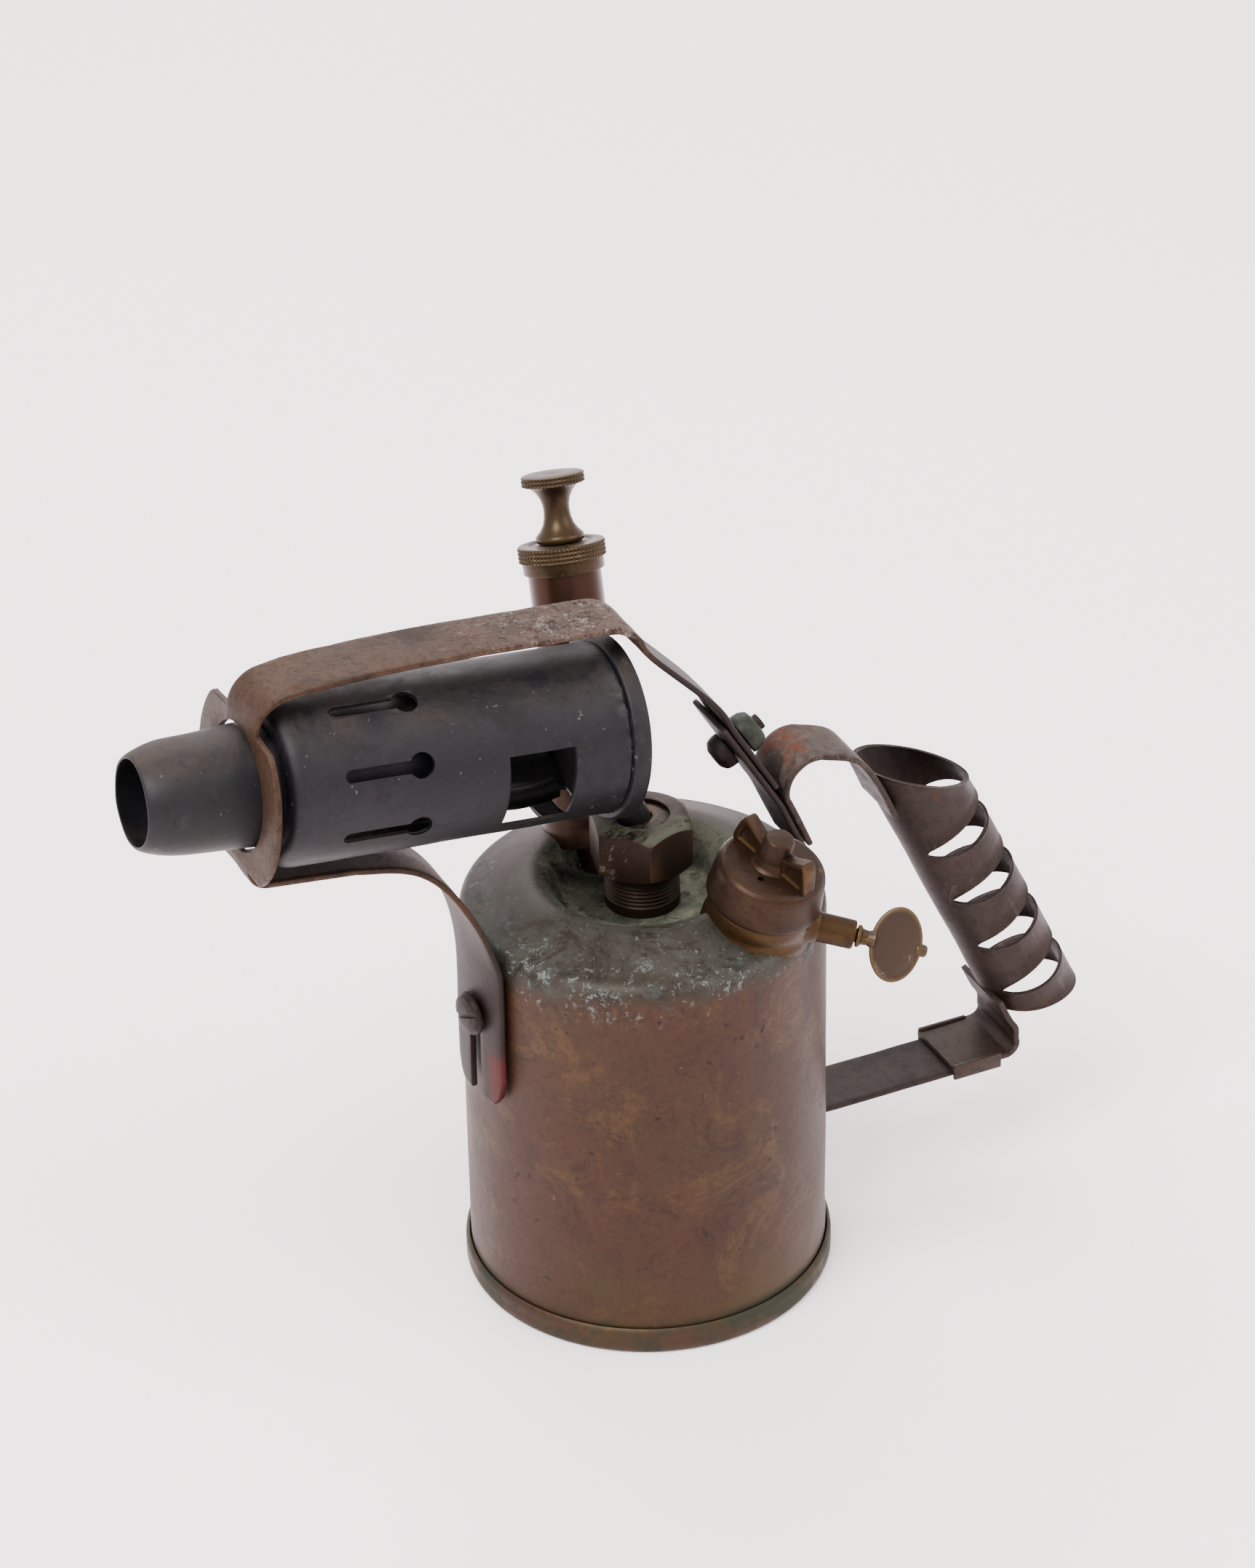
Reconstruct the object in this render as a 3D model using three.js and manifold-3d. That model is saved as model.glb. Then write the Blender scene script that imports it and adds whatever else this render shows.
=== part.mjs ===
// A one-pint brass paraffin blowlamp, in millimetres, +Z up.
// The origin is the centre of the tank's base, the nozzle points towards -X and the handle towards +X.
import * as THREE from "three";
import { mergeVertices } from "three/addons/utils/BufferGeometryUtils.js";
import Module from "manifold-3d";

const wasm = await Module();
wasm.setup();

// ---- driving dimensions ----
const GAP = 0.3; // clearance between touching pieces
const TANK_R = 47.5;
const TANK_WALL = 1.1;
const SHOULDER_Z = 109.5; // where the straight wall ends
const RIDGE_R = 29; // crest of the top, around the priming dish
const RIDGE_Z = 119.2;
const DISH_R = 19;
const DISH_Z = 110;
const RIM_R = 48.9;
const RIM_H = 7.5;

const BOSS_R = 9.8; // threaded boss in the dish
const BOSS_TOP = 126;
const NUT_AF = 24.5; // union nut, across flats
const NUT_Z0 = 121.5;
const NUT_Z1 = 135.5;
const NUT_TURN = THREE.MathUtils.degToRad(15);
const RISER_R = 4.2;
const RISER_LEAN = THREE.MathUtils.degToRad(21.8);

const BURNER_TILT = THREE.MathUtils.degToRad(5.7); // nozzle up
const BURNER_AT = new THREE.Vector3(-7.6, 0, 164); // rear face of the burner, on its axis
const CASING_R = 21.9;
const CASING_LEN = 95.5;
const CASING_WALL = 1;
const RING_R = 23.6;
const RING_T = 4.8;
const SLOT_COUNT = 8; // keyhole slots round the casing
const FLAME_R = 15.8;
const FLAME_FROM = 55;
const FLAME_TO = 128.9;

const STRAP_W = 18;
const FORK_W = 22;
const FORK_Y = -5; // the fork sits a little to one side
const FORK_TURN = 0.101; // so it is turned to lie along the wall
const FORK_Z = 93.2; // its screw
const STRAP_T = 1.6;
const PLATE_AT = 100.5; // along the burner axis
const PLATE_R = 25.5;

const PUMP_AT = new THREE.Vector3(0, 27.2, 117.9); // pump axis at the tank's top
const PUMP_DIR = new THREE.Vector3(0.0485, 0.35, 0.9355).normalize();
const BARREL_R = 9.5;
const BARREL_WALL = 0.8;
const BARREL_IN = 34; // length below the tank's top
const BARREL_OUT = 71.2; // length above it

const FILLER_AT = new THREE.Vector3(17.9, -28.1, 111.1);
const FILLER_DIR = new THREE.Vector3(0.129, -0.224, 0.966).normalize();
const NECK_R = 13.8;
const CAP_R = 15;
const SCREW_DIR = new THREE.Vector3(0.834, -0.501, -0.228).normalize();

const GRIP_TOP = new THREE.Vector3(78, 0, 128); // centre of the grip's top end
const GRIP_DIR = new THREE.Vector3(0.428, 0, -0.904).normalize();
const GRIP_R = 12.2;
const GRIP_LEN = 88; // along its axis, between the slanted ends
const GRIP_WALL = 1;
const LOWER_Z = 33; // height of the lower arm

const steel = { color: 0x4b3a30, roughness: 0.7, metalness: 0.6 };
const blackSteel = { color: 0x26272a, roughness: 0.6, metalness: 0.5 };
const brass = { color: 0x6b4a33, roughness: 0.45, metalness: 0.9 };
const lightBrass = { color: 0x8a6a45, roughness: 0.4, metalness: 0.9 };
const leather = { color: 0x4a3020, roughness: 0.9, metalness: 0 };
const cotton = { color: 0xb8ad98, roughness: 1, metalness: 0 };
const rubber = { color: 0x2a2523, roughness: 0.9, metalness: 0 };

const lamp = new THREE.Group();

// ---- solids from three.js geometry ----
// Joins the corners that fall on each other, before the geometry is moved anywhere.
function welded(geometry) {
  const g = geometry.index ? geometry.toNonIndexed() : geometry.clone();
  g.deleteAttribute("normal");
  g.deleteAttribute("uv");
  return mergeVertices(g, 1e-4);
}

function solid(geometry) {
  return new wasm.Manifold(
    new wasm.Mesh({
      numProp: 3,
      vertProperties: geometry.attributes.position.array,
      triVerts: new Uint32Array(geometry.index.array),
    }),
  );
}

function geometryOf(body) {
  const mesh = body.getMesh();
  const g = new THREE.BufferGeometry();
  g.setAttribute("position", new THREE.BufferAttribute(mesh.vertProperties, 3));
  g.setIndex(new THREE.BufferAttribute(mesh.triVerts, 1));
  return g;
}

// A closed profile of [radius, height] points turned round +Z.
function turned(profile, segments = 32) {
  const points = profile.map(([r, z]) => new THREE.Vector2(r, z));
  const g = new THREE.LatheGeometry(points, segments);
  g.rotateX(Math.PI / 2); // Lathe turns round +Y
  return welded(g);
}

const disc = (r, z0, z1, segments = 32) =>
  turned([[0, z0], [r, z0], [r, z1], [0, z1]], segments);

const tube = (outer, inner, z0, z1, segments = 32) =>
  turned([[inner, z0], [outer, z0], [outer, z1], [inner, z1], [inner, z0]], segments);

function block(dx, dy, dz, x = 0, y = 0, z = 0) {
  const g = new THREE.BoxGeometry(dx, dy, dz);
  g.translate(x, y, z);
  return welded(g);
}

// A prism of across-flats size af, with its corners turned by turn.
function hexagon(af, z0, z1, turn = 0) {
  const g = turned([[0, z0], [af / Math.sqrt(3), z0], [af / Math.sqrt(3), z1], [0, z1]], 6);
  g.rotateZ(turn);
  return g;
}

// The matrix that carries +Z to dir and the origin to at; side is where +X goes, roughly.
function placed(at, dir, side = null) {
  const z = dir.clone().normalize();
  const towards = side ?? new THREE.Vector3(Math.abs(z.x) > 0.9 ? 0 : 1, Math.abs(z.x) > 0.9 ? 1 : 0, 0);
  const y = new THREE.Vector3().crossVectors(z, towards).normalize();
  const x = new THREE.Vector3().crossVectors(y, z);
  return new THREE.Matrix4().makeBasis(x, y, z).setPosition(at);
}

function at(geometry, matrix) {
  return geometry.clone().applyMatrix4(matrix);
}

const joined = (...parts) => parts.map(solid).reduce((a, b) => a.add(b));
const cut = (body, ...tools) => tools.map(solid).reduce((a, b) => a.subtract(b), body);

function add(name, shape, finish, matrix = null) {
  let g = shape.isBufferGeometry ? shape : geometryOf(shape);
  if (matrix) g = at(g, matrix);
  const mesh = new THREE.Mesh(g, new THREE.MeshStandardMaterial(finish));
  mesh.name = name;
  lamp.add(mesh);
}

// A strip of width w along Y and thickness t, following a path of [x, z] points.
function strip(path, w = STRAP_W, t = STRAP_T) {
  const p = path.map(([x, z]) => new THREE.Vector2(x, z));
  const side = p.map((_, i) => {
    const a = p[Math.max(i - 1, 0)];
    const b = p[i];
    const c = p[Math.min(i + 1, p.length - 1)];
    const d1 = (i > 0 ? b.clone().sub(a) : c.clone().sub(b)).normalize();
    const d2 = (i < p.length - 1 ? c.clone().sub(b) : b.clone().sub(a)).normalize();
    const n = new THREE.Vector2(-(d1.y + d2.y), d1.x + d2.x).normalize();
    return n.multiplyScalar(t / 2 / Math.max(0.5, Math.abs(n.dot(new THREE.Vector2(-d1.y, d1.x)))));
  });
  const outline = [
    ...p.map((v, i) => v.clone().add(side[i])),
    ...p.map((v, i) => v.clone().sub(side[i])).reverse(),
  ];
  if (THREE.ShapeUtils.area(outline) < 0) outline.reverse();
  const g = new THREE.ExtrudeGeometry(new THREE.Shape(outline), { depth: w, bevelEnabled: false });
  g.rotateX(Math.PI / 2); // the outline's plane becomes XZ, and the depth runs along -Y
  g.translate(0, w / 2, 0);
  return welded(g);
}

// Points of an arc in the XZ plane, from angle a0 to a1 in degrees.
function arc(x, z, r, a0, a1, steps = 6) {
  return Array.from({ length: steps + 1 }, (_, i) => {
    const a = THREE.MathUtils.degToRad(a0 + ((a1 - a0) * i) / steps);
    return [x + r * Math.cos(a), z + r * Math.sin(a)];
  });
}

// ---- frames of the slanted groups ----
const burnerAxis = new THREE.Vector3(-Math.cos(BURNER_TILT), 0, Math.sin(BURNER_TILT));
const burnerUp = new THREE.Vector3(Math.sin(BURNER_TILT), 0, Math.cos(BURNER_TILT));
const burner = placed(BURNER_AT, burnerAxis, burnerUp); // +Z runs to the nozzle, +X is up
const riserDir = new THREE.Vector3(-Math.sin(RISER_LEAN), 0, Math.cos(RISER_LEAN));
const riser = placed(new THREE.Vector3(-1.2, 0, 133), riserDir);
const pump = placed(PUMP_AT, PUMP_DIR);
const filler = placed(FILLER_AT, FILLER_DIR, SCREW_DIR); // +X runs towards the release screw
const onBurner = (s, up) => {
  const v = BURNER_AT.clone().addScaledVector(burnerAxis, s).addScaledVector(burnerUp, up);
  return [v.x, v.z];
};

// ---- tank ----
const tankOutside = [
  [TANK_R, 2.5], [TANK_R, SHOULDER_Z], [TANK_R - 0.6, SHOULDER_Z + 1.8], [TANK_R - 2, SHOULDER_Z + 3.4],
  [42.5, 113.8], [38, 115.9], [33, 118.1], [RIDGE_R, RIDGE_Z], [26, 118.6], [23, 115.4], [21, 111.6],
  [DISH_R, DISH_Z],
];
const tankInside = tankOutside.map(([r, z]) => [r - TANK_WALL, z < SHOULDER_Z + 1 ? z : z - TANK_WALL]).reverse();
const tankClear = turned([
  [0, 2.8], ...tankOutside.map(([r, z]) => [r + GAP, z + GAP]), [0, DISH_Z + GAP],
], 36);
const barrelHole = at(disc(BARREL_R + GAP, -20, 16), pump);
const neckHole = at(disc(10.2, -6, 16), filler);
const tankShell = cut(
  solid(turned([...tankOutside, [BOSS_R + GAP, DISH_Z], [BOSS_R + GAP, DISH_Z - TANK_WALL], ...tankInside,
    [TANK_R, 2.5]], 36)),
  barrelHole, neckHole,
);
add("tank_shell", tankShell, brass);

const base = turned([
  [0, 0], [30, 0], [31.5, 1.2], [38, 1.2], [39.5, 0], [47.6, 0], [RIM_R, 1.2], [RIM_R, 5.2], [48.6, 6.6],
  [TANK_R + 0.5, RIM_H], [TANK_R + 0.5, 2.2], [0, 2.2],
], 36);
add("base_plate", base, brass);

const bossThread = Array.from({ length: 3 }, (_, i) => 116.4 + i * 1.3)
  .flatMap((z) => [[BOSS_R, z], [BOSS_R - 0.7, z + 0.6]]);
const boss = turned([
  [5.4, DISH_Z - 6], [BOSS_R + 1.4, DISH_Z - 6], [BOSS_R + 1.4, DISH_Z - TANK_WALL - GAP],
  [BOSS_R, DISH_Z - TANK_WALL - GAP], ...bossThread, [BOSS_R - 0.9, BOSS_TOP],
  [5.4, BOSS_TOP], [5.4, DISH_Z - 6],
], 28);
add("burner_boss", boss, lightBrass);

// The fuel pipe hangs in the boss and carries a cotton wick down to the bottom of the tank.
const pipe = joined(tube(3, 2.2, 10, 118, 14), tube(5, 2.6, 113.5, 118, 20));
add("fuel_pipe", pipe, lightBrass);
add("fuel_wick", disc(1.8, 6, 128, 12), cotton);

// ---- union nut and riser ----
const nutBlank = solid(hexagon(NUT_AF, NUT_Z0, NUT_Z1, NUT_TURN));
const nutR = NUT_AF / Math.sqrt(3);
const nutTurned = solid(turned([
  [0, NUT_Z0 - 1], [NUT_AF / 2 - 0.6, NUT_Z0 - 0.01], [nutR, NUT_Z0 + 1.6], [nutR, NUT_Z1 - 2],
  [NUT_AF / 2 - 0.8, NUT_Z1 - 0.2], [0, NUT_Z1 + 1],
], 24));
const unionNut = cut(
  nutBlank.intersect(nutTurned),
  disc(BOSS_R + GAP, NUT_Z0 - 2, BOSS_TOP + 3.6, 24),
  disc(7.4, BOSS_TOP, NUT_Z1 + 2, 20),
);
add("union_nut", unionNut, brass);

const riserFoot = tube(8.6, 2.6, BOSS_TOP + GAP, BOSS_TOP + 3, 18);
const riserNeck = tube(RISER_R + 0.6, 2.6, BOSS_TOP + 1, 134, 18);
const riserTube = cut(
  joined(riserFoot, riserNeck, at(disc(RISER_R, -3.5, 16.5, 18), riser)),
  disc(2.6, BOSS_TOP - 1, 133.5, 12),
  at(disc(2.6, -1, 18, 12), riser),
);
add("riser_tube", riserTube, blackSteel);

// ---- burner ----
// Tools that cut through the casing wall, placed round the burner axis by angle. 0 is up, 90 towards -Y.
function round(geometry, degrees) {
  const g = geometry.clone();
  g.rotateZ(THREE.MathUtils.degToRad(degrees));
  return g;
}
const SLOT_AT = 61.2; // the slots' round ends, along the burner
const slotRound = disc(3.3, 0, 8, 12);
slotRound.rotateY(Math.PI / 2);
slotRound.translate(CASING_R - 4, 0, SLOT_AT);
const slotBar = block(8, 3.4, 18, CASING_R, 0, SLOT_AT + 9.4);
const slotEnd = disc(1.7, 0, 8, 8);
slotEnd.rotateY(Math.PI / 2);
slotEnd.translate(CASING_R - 4, 0, SLOT_AT + 18.4);
const windowTool = block(14, 21.2, 18, CASING_R - 4, 0, 29);
const bottomWindow = block(12, 11, 18, CASING_R - 2, 0, 29);
const slots = Array.from({ length: SLOT_COUNT }, (_, i) => -20 + (360 / SLOT_COUNT) * i);
const CASING_FROM = RING_T + GAP;
const riserNotch = block(14, 13.6, 12, -CASING_R, 0, CASING_FROM + 3);
const casingBlank = turned([
  [CASING_R, CASING_FROM], [CASING_R, CASING_LEN - 3], [CASING_R - 1, CASING_LEN - 0.8], [CASING_R - 3, CASING_LEN],
  [FLAME_R + GAP + 0.4, CASING_LEN], [FLAME_R + GAP + 0.4, CASING_LEN - CASING_WALL],
  [CASING_R - 3.4, CASING_LEN - CASING_WALL], [CASING_R - 1.6, CASING_LEN - 2],
  [CASING_R - CASING_WALL, CASING_LEN - 3.4], [CASING_R - CASING_WALL, CASING_FROM], [CASING_R, CASING_FROM],
], 32);
const casing = cut(
  solid(casingBlank),
  ...slots.flatMap((a) => [round(slotRound, a), round(slotBar, a), round(slotEnd, a)]),
  round(windowTool, -98),
  round(windowTool, 98),
  round(bottomWindow, 180),
  riserNotch,
);
add("burner_casing", casing, blackSteel, burner);

// The rear ring carries the riser's socket at its bottom and the jet on a cross bar.
const riserSocket = at(disc(6.4, 9, 19.5, 24), riser).applyMatrix4(burner.clone().invert());
const riserBore = at(disc(RISER_R + GAP, 0, 17, 20), riser).applyMatrix4(burner.clone().invert());
const ring = joined(
  turned([
    [18.2, 0], [RING_R - 0.6, 0], [RING_R, 0.6], [RING_R, RING_T - 0.6], [RING_R - 0.6, RING_T],
    [CASING_R - CASING_WALL - GAP, RING_T], [CASING_R - CASING_WALL - GAP, RING_T + 4], [19.2, RING_T + 4],
    [18.2, 0],
  ], 28),
  block(38.4, 7, 3.4, 0, 0, 2.4),
  riserSocket,
);
add("rear_ring", cut(ring, riserBore, disc(3.2, -8, 12, 16)), blackSteel, burner);

// The vaporiser: a pipe from the socket to the front of the chamber and back to the jet.
const pipeRun = new THREE.CatmullRomCurve3([
  new THREE.Vector3(-15.4, 0, 14.5), new THREE.Vector3(-16.6, 0, 20), new THREE.Vector3(-16.8, 0, 28),
  new THREE.Vector3(-14, 0, 42), new THREE.Vector3(0, 0, 49), new THREE.Vector3(13.5, 0, 43),
  new THREE.Vector3(15.5, 0, 30), new THREE.Vector3(12, 0, 18), new THREE.Vector3(5.4, 0, 12.8),
]);
function section(r, sides = 12) {
  return new THREE.Shape(Array.from({ length: sides }, (_, i) => {
    const a = (2 * Math.PI * i) / sides;
    return new THREE.Vector2(r * Math.cos(a), r * Math.sin(a));
  }));
}
const vaporiser = new THREE.ExtrudeGeometry(section(2.7, 10), { steps: 26, bevelEnabled: false, extrudePath: pipeRun });
add("vaporiser_pipe", welded(vaporiser), blackSteel, burner);

const jetHolder = turned([
  [0, -1.4], [2.9, -1.4], [2.9, 4.4], [5, 4.4], [5, 10], [0, 10],
], 16);
add("jet_holder", jetHolder, lightBrass, burner);

const flameTube = turned([
  [FLAME_R - 1.2, FLAME_FROM], [FLAME_R - 0.2, FLAME_FROM], [FLAME_R, 92], [FLAME_R - 0.9, 111],
  [FLAME_R - 1.4, 119], [FLAME_R - 2.3, 124.4], [FLAME_R - 3.6, 127.6], [FLAME_R - 4.8, FLAME_TO],
  [FLAME_R - 4.8, FLAME_TO - 1.2], [FLAME_R - 3.5, 123.6], [FLAME_R - 2.6, 118.6], [FLAME_R - 2.1, 111],
  [FLAME_R - 1.2, FLAME_FROM],
], 28);
add("flame_tube", flameTube, blackSteel, burner);

// ---- guard strap ----
const PLATE_UP = 30.3; // height of the top run above the burner axis
const PLATE_DOWN = -24.4;
const BEND = 5;
const bend = (s, up, a0, a1) => arc(...onBurner(s, up), BEND, a0, a1, 5);
const tiltDeg = THREE.MathUtils.radToDeg(BURNER_TILT);
const forkX = -(TANK_R + 2.3);
const boltAt = [26.5, 149.4];
const backSlope = new THREE.Vector2(0.515, -0.857).normalize(); // the rear legs, downwards
const backNormal = new THREE.Vector2(-backSlope.y, backSlope.x);
const alongBack = (d, n) => [
  boltAt[0] + backSlope.x * d + backNormal.x * n,
  boltAt[1] + backSlope.y * d + backNormal.y * n,
];
const frontDrop = [
  [forkX, 68.3], [forkX, 108], [-50.6, 117], [-53, 125.5], [-57.4, 133.4], [-63.2, 139.6], [-70.5, 143.4],
  [-82, 146.3],
];
const guardPath = [
  ...frontDrop,
  ...bend(PLATE_AT - BEND, PLATE_DOWN + BEND, 270 - tiltDeg, 180 - tiltDeg),
  ...arc(...onBurner(PLATE_AT - 9, PLATE_UP - 12.2), 9, 180 - tiltDeg, 106 - tiltDeg, 5),
  onBurner(75, PLATE_UP - 0.8), onBurner(50, PLATE_UP + 0.6), onBurner(25, PLATE_UP + 1),
  onBurner(7.5, PLATE_UP + 1.2),
  onBurner(2.5, PLATE_UP + 0.4), onBurner(-1.5, PLATE_UP - 2.4), onBurner(-5.5, PLATE_UP - 8.2),
  alongBack(-20, STRAP_T / 2 + GAP), alongBack(14, STRAP_T / 2 + GAP),
];
// The front drop leans over towards the fork's side.
function leaned(geometry) {
  const p = geometry.attributes.position;
  for (let i = 0; i < p.count; i++) {
    if (p.getX(i) > -40) continue;
    p.setX(i, p.getX(i) - FORK_TURN * p.getY(i) * THREE.MathUtils.clamp((128 - p.getZ(i)) / 18, 0, 1));
    p.setY(i, p.getY(i) + FORK_Y * THREE.MathUtils.clamp((141 - p.getZ(i)) / 32, 0, 1));
  }
  return geometry;
}
const guardStrip = solid(leaned(strip(guardPath))).add(solid(leaned(strip(frontDrop.slice(0, 4), FORK_W))));
const guardDisc = solid(disc(PLATE_R, PLATE_AT - STRAP_T / 2, PLATE_AT + STRAP_T / 2, 36))
  .intersect(solid(block(37, 60, 6, -1.2, 0, PLATE_AT)))
  .transform(Array.from(burner.elements));
const nozzleHole = at(disc(FLAME_R + 0.7, PLATE_AT - 4, PLATE_AT + 4, 28), burner);
const forkSlot = joined(
  block(6, 5.4, 28, forkX, FORK_Y, FORK_Z - 13.4),
  at(disc(2.7, -3, 3, 16), placed(new THREE.Vector3(forkX, FORK_Y, FORK_Z + 0.6), new THREE.Vector3(1, 0, 0))),
);
const boltFrame = placed(
  new THREE.Vector3(boltAt[0], 0, boltAt[1]), new THREE.Vector3(backNormal.x, 0, backNormal.y),
  new THREE.Vector3(0, 1, 0),
);
const boltHole = at(disc(2.6, -12, 12, 20), boltFrame);
const guard = cut(guardStrip.add(guardDisc).subtract(forkSlot), nozzleHole, boltHole);
add("guard_strap", guard, steel);

// ---- back strap: down the tank's back and out to the handle ----
const backX = TANK_R + STRAP_T / 2 + 0.7;
const backPath = [
  alongBack(-12, -STRAP_T / 2), alongBack(14, -STRAP_T / 2), alongBack(20, -STRAP_T / 2), [43.3, 115.8],
];
const downPath = [
  alongBack(20, -STRAP_T / 2), [43.3, 115.8], [46.7, 113.7], [48.5, 111.5], [backX, 108.5], [backX, LOWER_Z],
];
const lowerArm = block(101 - backX + STRAP_T / 2, STRAP_W, STRAP_T, (101 + backX - STRAP_T / 2) / 2, 0, LOWER_Z);
const backStrap = solid(strip(backPath)).add(solid(strip(downPath, 12))).add(solid(lowerArm));
add("back_strap", cut(backStrap, boltHole), steel);

// ---- handle ----
const grip = placed(GRIP_TOP, GRIP_DIR, new THREE.Vector3(0, 1, 0)); // +Z runs down the grip, +X is +Y
const outward = new THREE.Vector3(1, 0, 0).transformDirection(grip.clone().invert());
const outerSide = Math.sign(outward.y); // which way the grip's own Y points, out from the tank
const slantCut = (down, slope, sign) => {
  const g = block(60, 60, 60, 0, 0, sign * 30);
  g.rotateX(outerSide * Math.atan(slope));
  return g.translate(0, 0, down);
};
const gripShell = cut(
  solid(tube(GRIP_R, GRIP_R - GRIP_WALL, -14, GRIP_LEN + 14, 24)),
  slantCut(0, 0.98, -1), slantCut(GRIP_LEN, 0.35, 1),
);
const gripSlot = (z) => {
  const g = disc(1, -GRIP_R - 4, GRIP_R + 4, 14);
  g.rotateY(Math.PI / 2);
  g.scale(1, 17, 3.9);
  return g.translate(0, outerSide * 8, z);
};
const gripSlots = [21.5, 40, 58.5, 77].map(gripSlot);
// A point in the XZ plane, so far down the grip and so far out from its axis.
const onGrip = (down, out) => [
  GRIP_TOP.x + GRIP_DIR.x * down - GRIP_DIR.z * out,
  GRIP_TOP.z + GRIP_DIR.z * down + GRIP_DIR.x * out,
];
const legOut = STRAP_T / 2 + GAP;
const armPath = [
  [44.4, 118.2], [38.3, 132], ...arc(46, 135.2, 8.6, 188, 70, 7),
  [58, 139.6], onGrip(-9, -11.4), onGrip(4, -11.6),
];
const tabTop = LOWER_Z + STRAP_T / 2 + GAP;
const tailPath = [
  onGrip(GRIP_LEN - 10, -11.6), onGrip(GRIP_LEN - 3, -11.6), onGrip(GRIP_LEN + 1, -11.2),
  ...arc(103, tabTop + 4.2, 3.4, 20, -90, 5), [87, tabTop + 0.8],
];
const clipSide = (y) => block(14.5, 1.2, 4.6, 94.4, y, LOWER_Z + 1);
const handle = gripSlots.map(solid).reduce((a, b) => a.subtract(b), gripShell)
  .transform(Array.from(grip.elements))
  .add(solid(strip(armPath)))
  .add(solid(strip(tailPath, STRAP_W + 3)))
  .add(solid(clipSide(STRAP_W / 2 + GAP + 0.7)))
  .add(solid(clipSide(-(STRAP_W / 2 + GAP + 0.7))));
add("handle_grip", handle, steel);

// ---- fasteners ----
const bolt = turned([
  [0, -6.6], [2.6, -6.6], [4.4, -5.4], [4.8, -3.6], [4.8, -2], [2.2, -2], [2.2, 9], [0, 9],
], 20);
add("clamp_bolt", cut(solid(bolt), block(12, 1.3, 2.4, 0, 0, -6.2)), steel, boltFrame);
const thumbNut = joined(
  turned([[2.6, 2.5], [5.4, 2.5], [5, 5.8], [3.6, 7.6], [2.6, 7.6], [2.6, 2.5]], 20),
  turned([[2.6, 2.5], [5.9, 2.5], [5.9, 4.4], [2.6, 4.4], [2.6, 2.5]], 6),
);
add("clamp_nut", thumbNut, lightBrass, boltFrame);

const screwFrame = placed(new THREE.Vector3(-TANK_R, FORK_Y, FORK_Z), new THREE.Vector3(-1, -FORK_TURN, 0));
const lug = cut(
  solid(leaned(block(8, 14, 18, forkX + STRAP_T / 2 + GAP + 4, 0, FORK_Z))),
  disc(TANK_R + GAP, 60, 110, 56),
  at(disc(2.6, -6, 8, 16), screwFrame),
);
add("guard_lug", lug, lightBrass);
const guardScrew = turned([
  [0, 0.9], [2.3, 0.9], [2.3, 3.5], [5.8, 3.5], [5.8, 4.6], [4.6, 5.8], [0, 6.3],
], 24);
add("guard_screw", cut(solid(guardScrew), block(14, 1.3, 2.6, 0, 0, 6.4)), steel, screwFrame);

// ---- pump ----
const collar = cut(
  solid(at(turned([
    [BARREL_R + GAP, -8], [14.4, -8], [14.2, 2], [13.2, 3.6], [13, 11.5], [12.2, 12.6], [BARREL_R + GAP, 12.6],
    [BARREL_R + GAP, -8],
  ], 26), pump)),
  tankClear,
);
add("pump_collar", collar, brass);

const barrelInner = BARREL_R - BARREL_WALL;
const barrel = cut(
  solid(tube(BARREL_R, barrelInner, -BARREL_IN, BARREL_OUT, 26)),
);
add("pump_barrel", barrel, lightBrass, pump);

const valveSeat = turned([
  [1.4, -BARREL_IN - 4], [6, -BARREL_IN - 4], [6, -BARREL_IN - 1.4], [barrelInner - GAP, -BARREL_IN - 1.4],
  [barrelInner - GAP, -BARREL_IN + 3], [3.4, -BARREL_IN + 3], [3.4, -BARREL_IN + 9], [1.8, -BARREL_IN + 9],
  [1.8, -BARREL_IN - 2.4], [1.4, -BARREL_IN - 2.4], [1.4, -BARREL_IN - 4],
], 18);
add("valve_body", valveSeat, lightBrass, pump);
add("valve_disc", disc(1.5, -BARREL_IN - 2, -BARREL_IN + 0.4, 12), rubber, pump);
const springPath = new THREE.CatmullRomCurve3(Array.from({ length: 49 }, (_, i) => {
  const a = (i / 12) * 2 * Math.PI;
  return new THREE.Vector3(1.1 * Math.cos(a), 1.1 * Math.sin(a), -BARREL_IN + 1.1 + (i / 48) * 6.2);
}));
const spring = new THREE.ExtrudeGeometry(section(0.28, 5), { steps: 44, bevelEnabled: false, extrudePath: springPath });
add("valve_spring", welded(spring), steel, pump);

const pumpCap = turned([
  [2.6, BARREL_OUT + 3.2], [2.6, BARREL_OUT + GAP], [barrelInner, BARREL_OUT + GAP],
  [BARREL_R + GAP, BARREL_OUT + GAP], [BARREL_R + GAP, BARREL_OUT - 4.2],
  [10.5, BARREL_OUT - 4.2], [10.5, BARREL_OUT - 1], [11.5, BARREL_OUT - 0.8], [11.5, BARREL_OUT + 2.9],
  [11.2, BARREL_OUT + 3.2], [2.6, BARREL_OUT + 3.2],
], 26);
add("pump_cap", pumpCap, brass, pump);

const KNOB_Z = BARREL_OUT + 3.5;
const knob = turned([
  [0, KNOB_Z], [6.3, KNOB_Z], [6.3, KNOB_Z + 1.6], [4.6, KNOB_Z + 3.4], [3.5, KNOB_Z + 6],
  [3.3, KNOB_Z + 8.5], [3.8, KNOB_Z + 11], [5.2, KNOB_Z + 13.4], [6.8, KNOB_Z + 14.9], [8.3, KNOB_Z + 15.1],
  [8.3, KNOB_Z + 17.3], [8, KNOB_Z + 17.7], [0, KNOB_Z + 17.7],
], 22);
add("pump_knob", knob, brass, pump);

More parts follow.
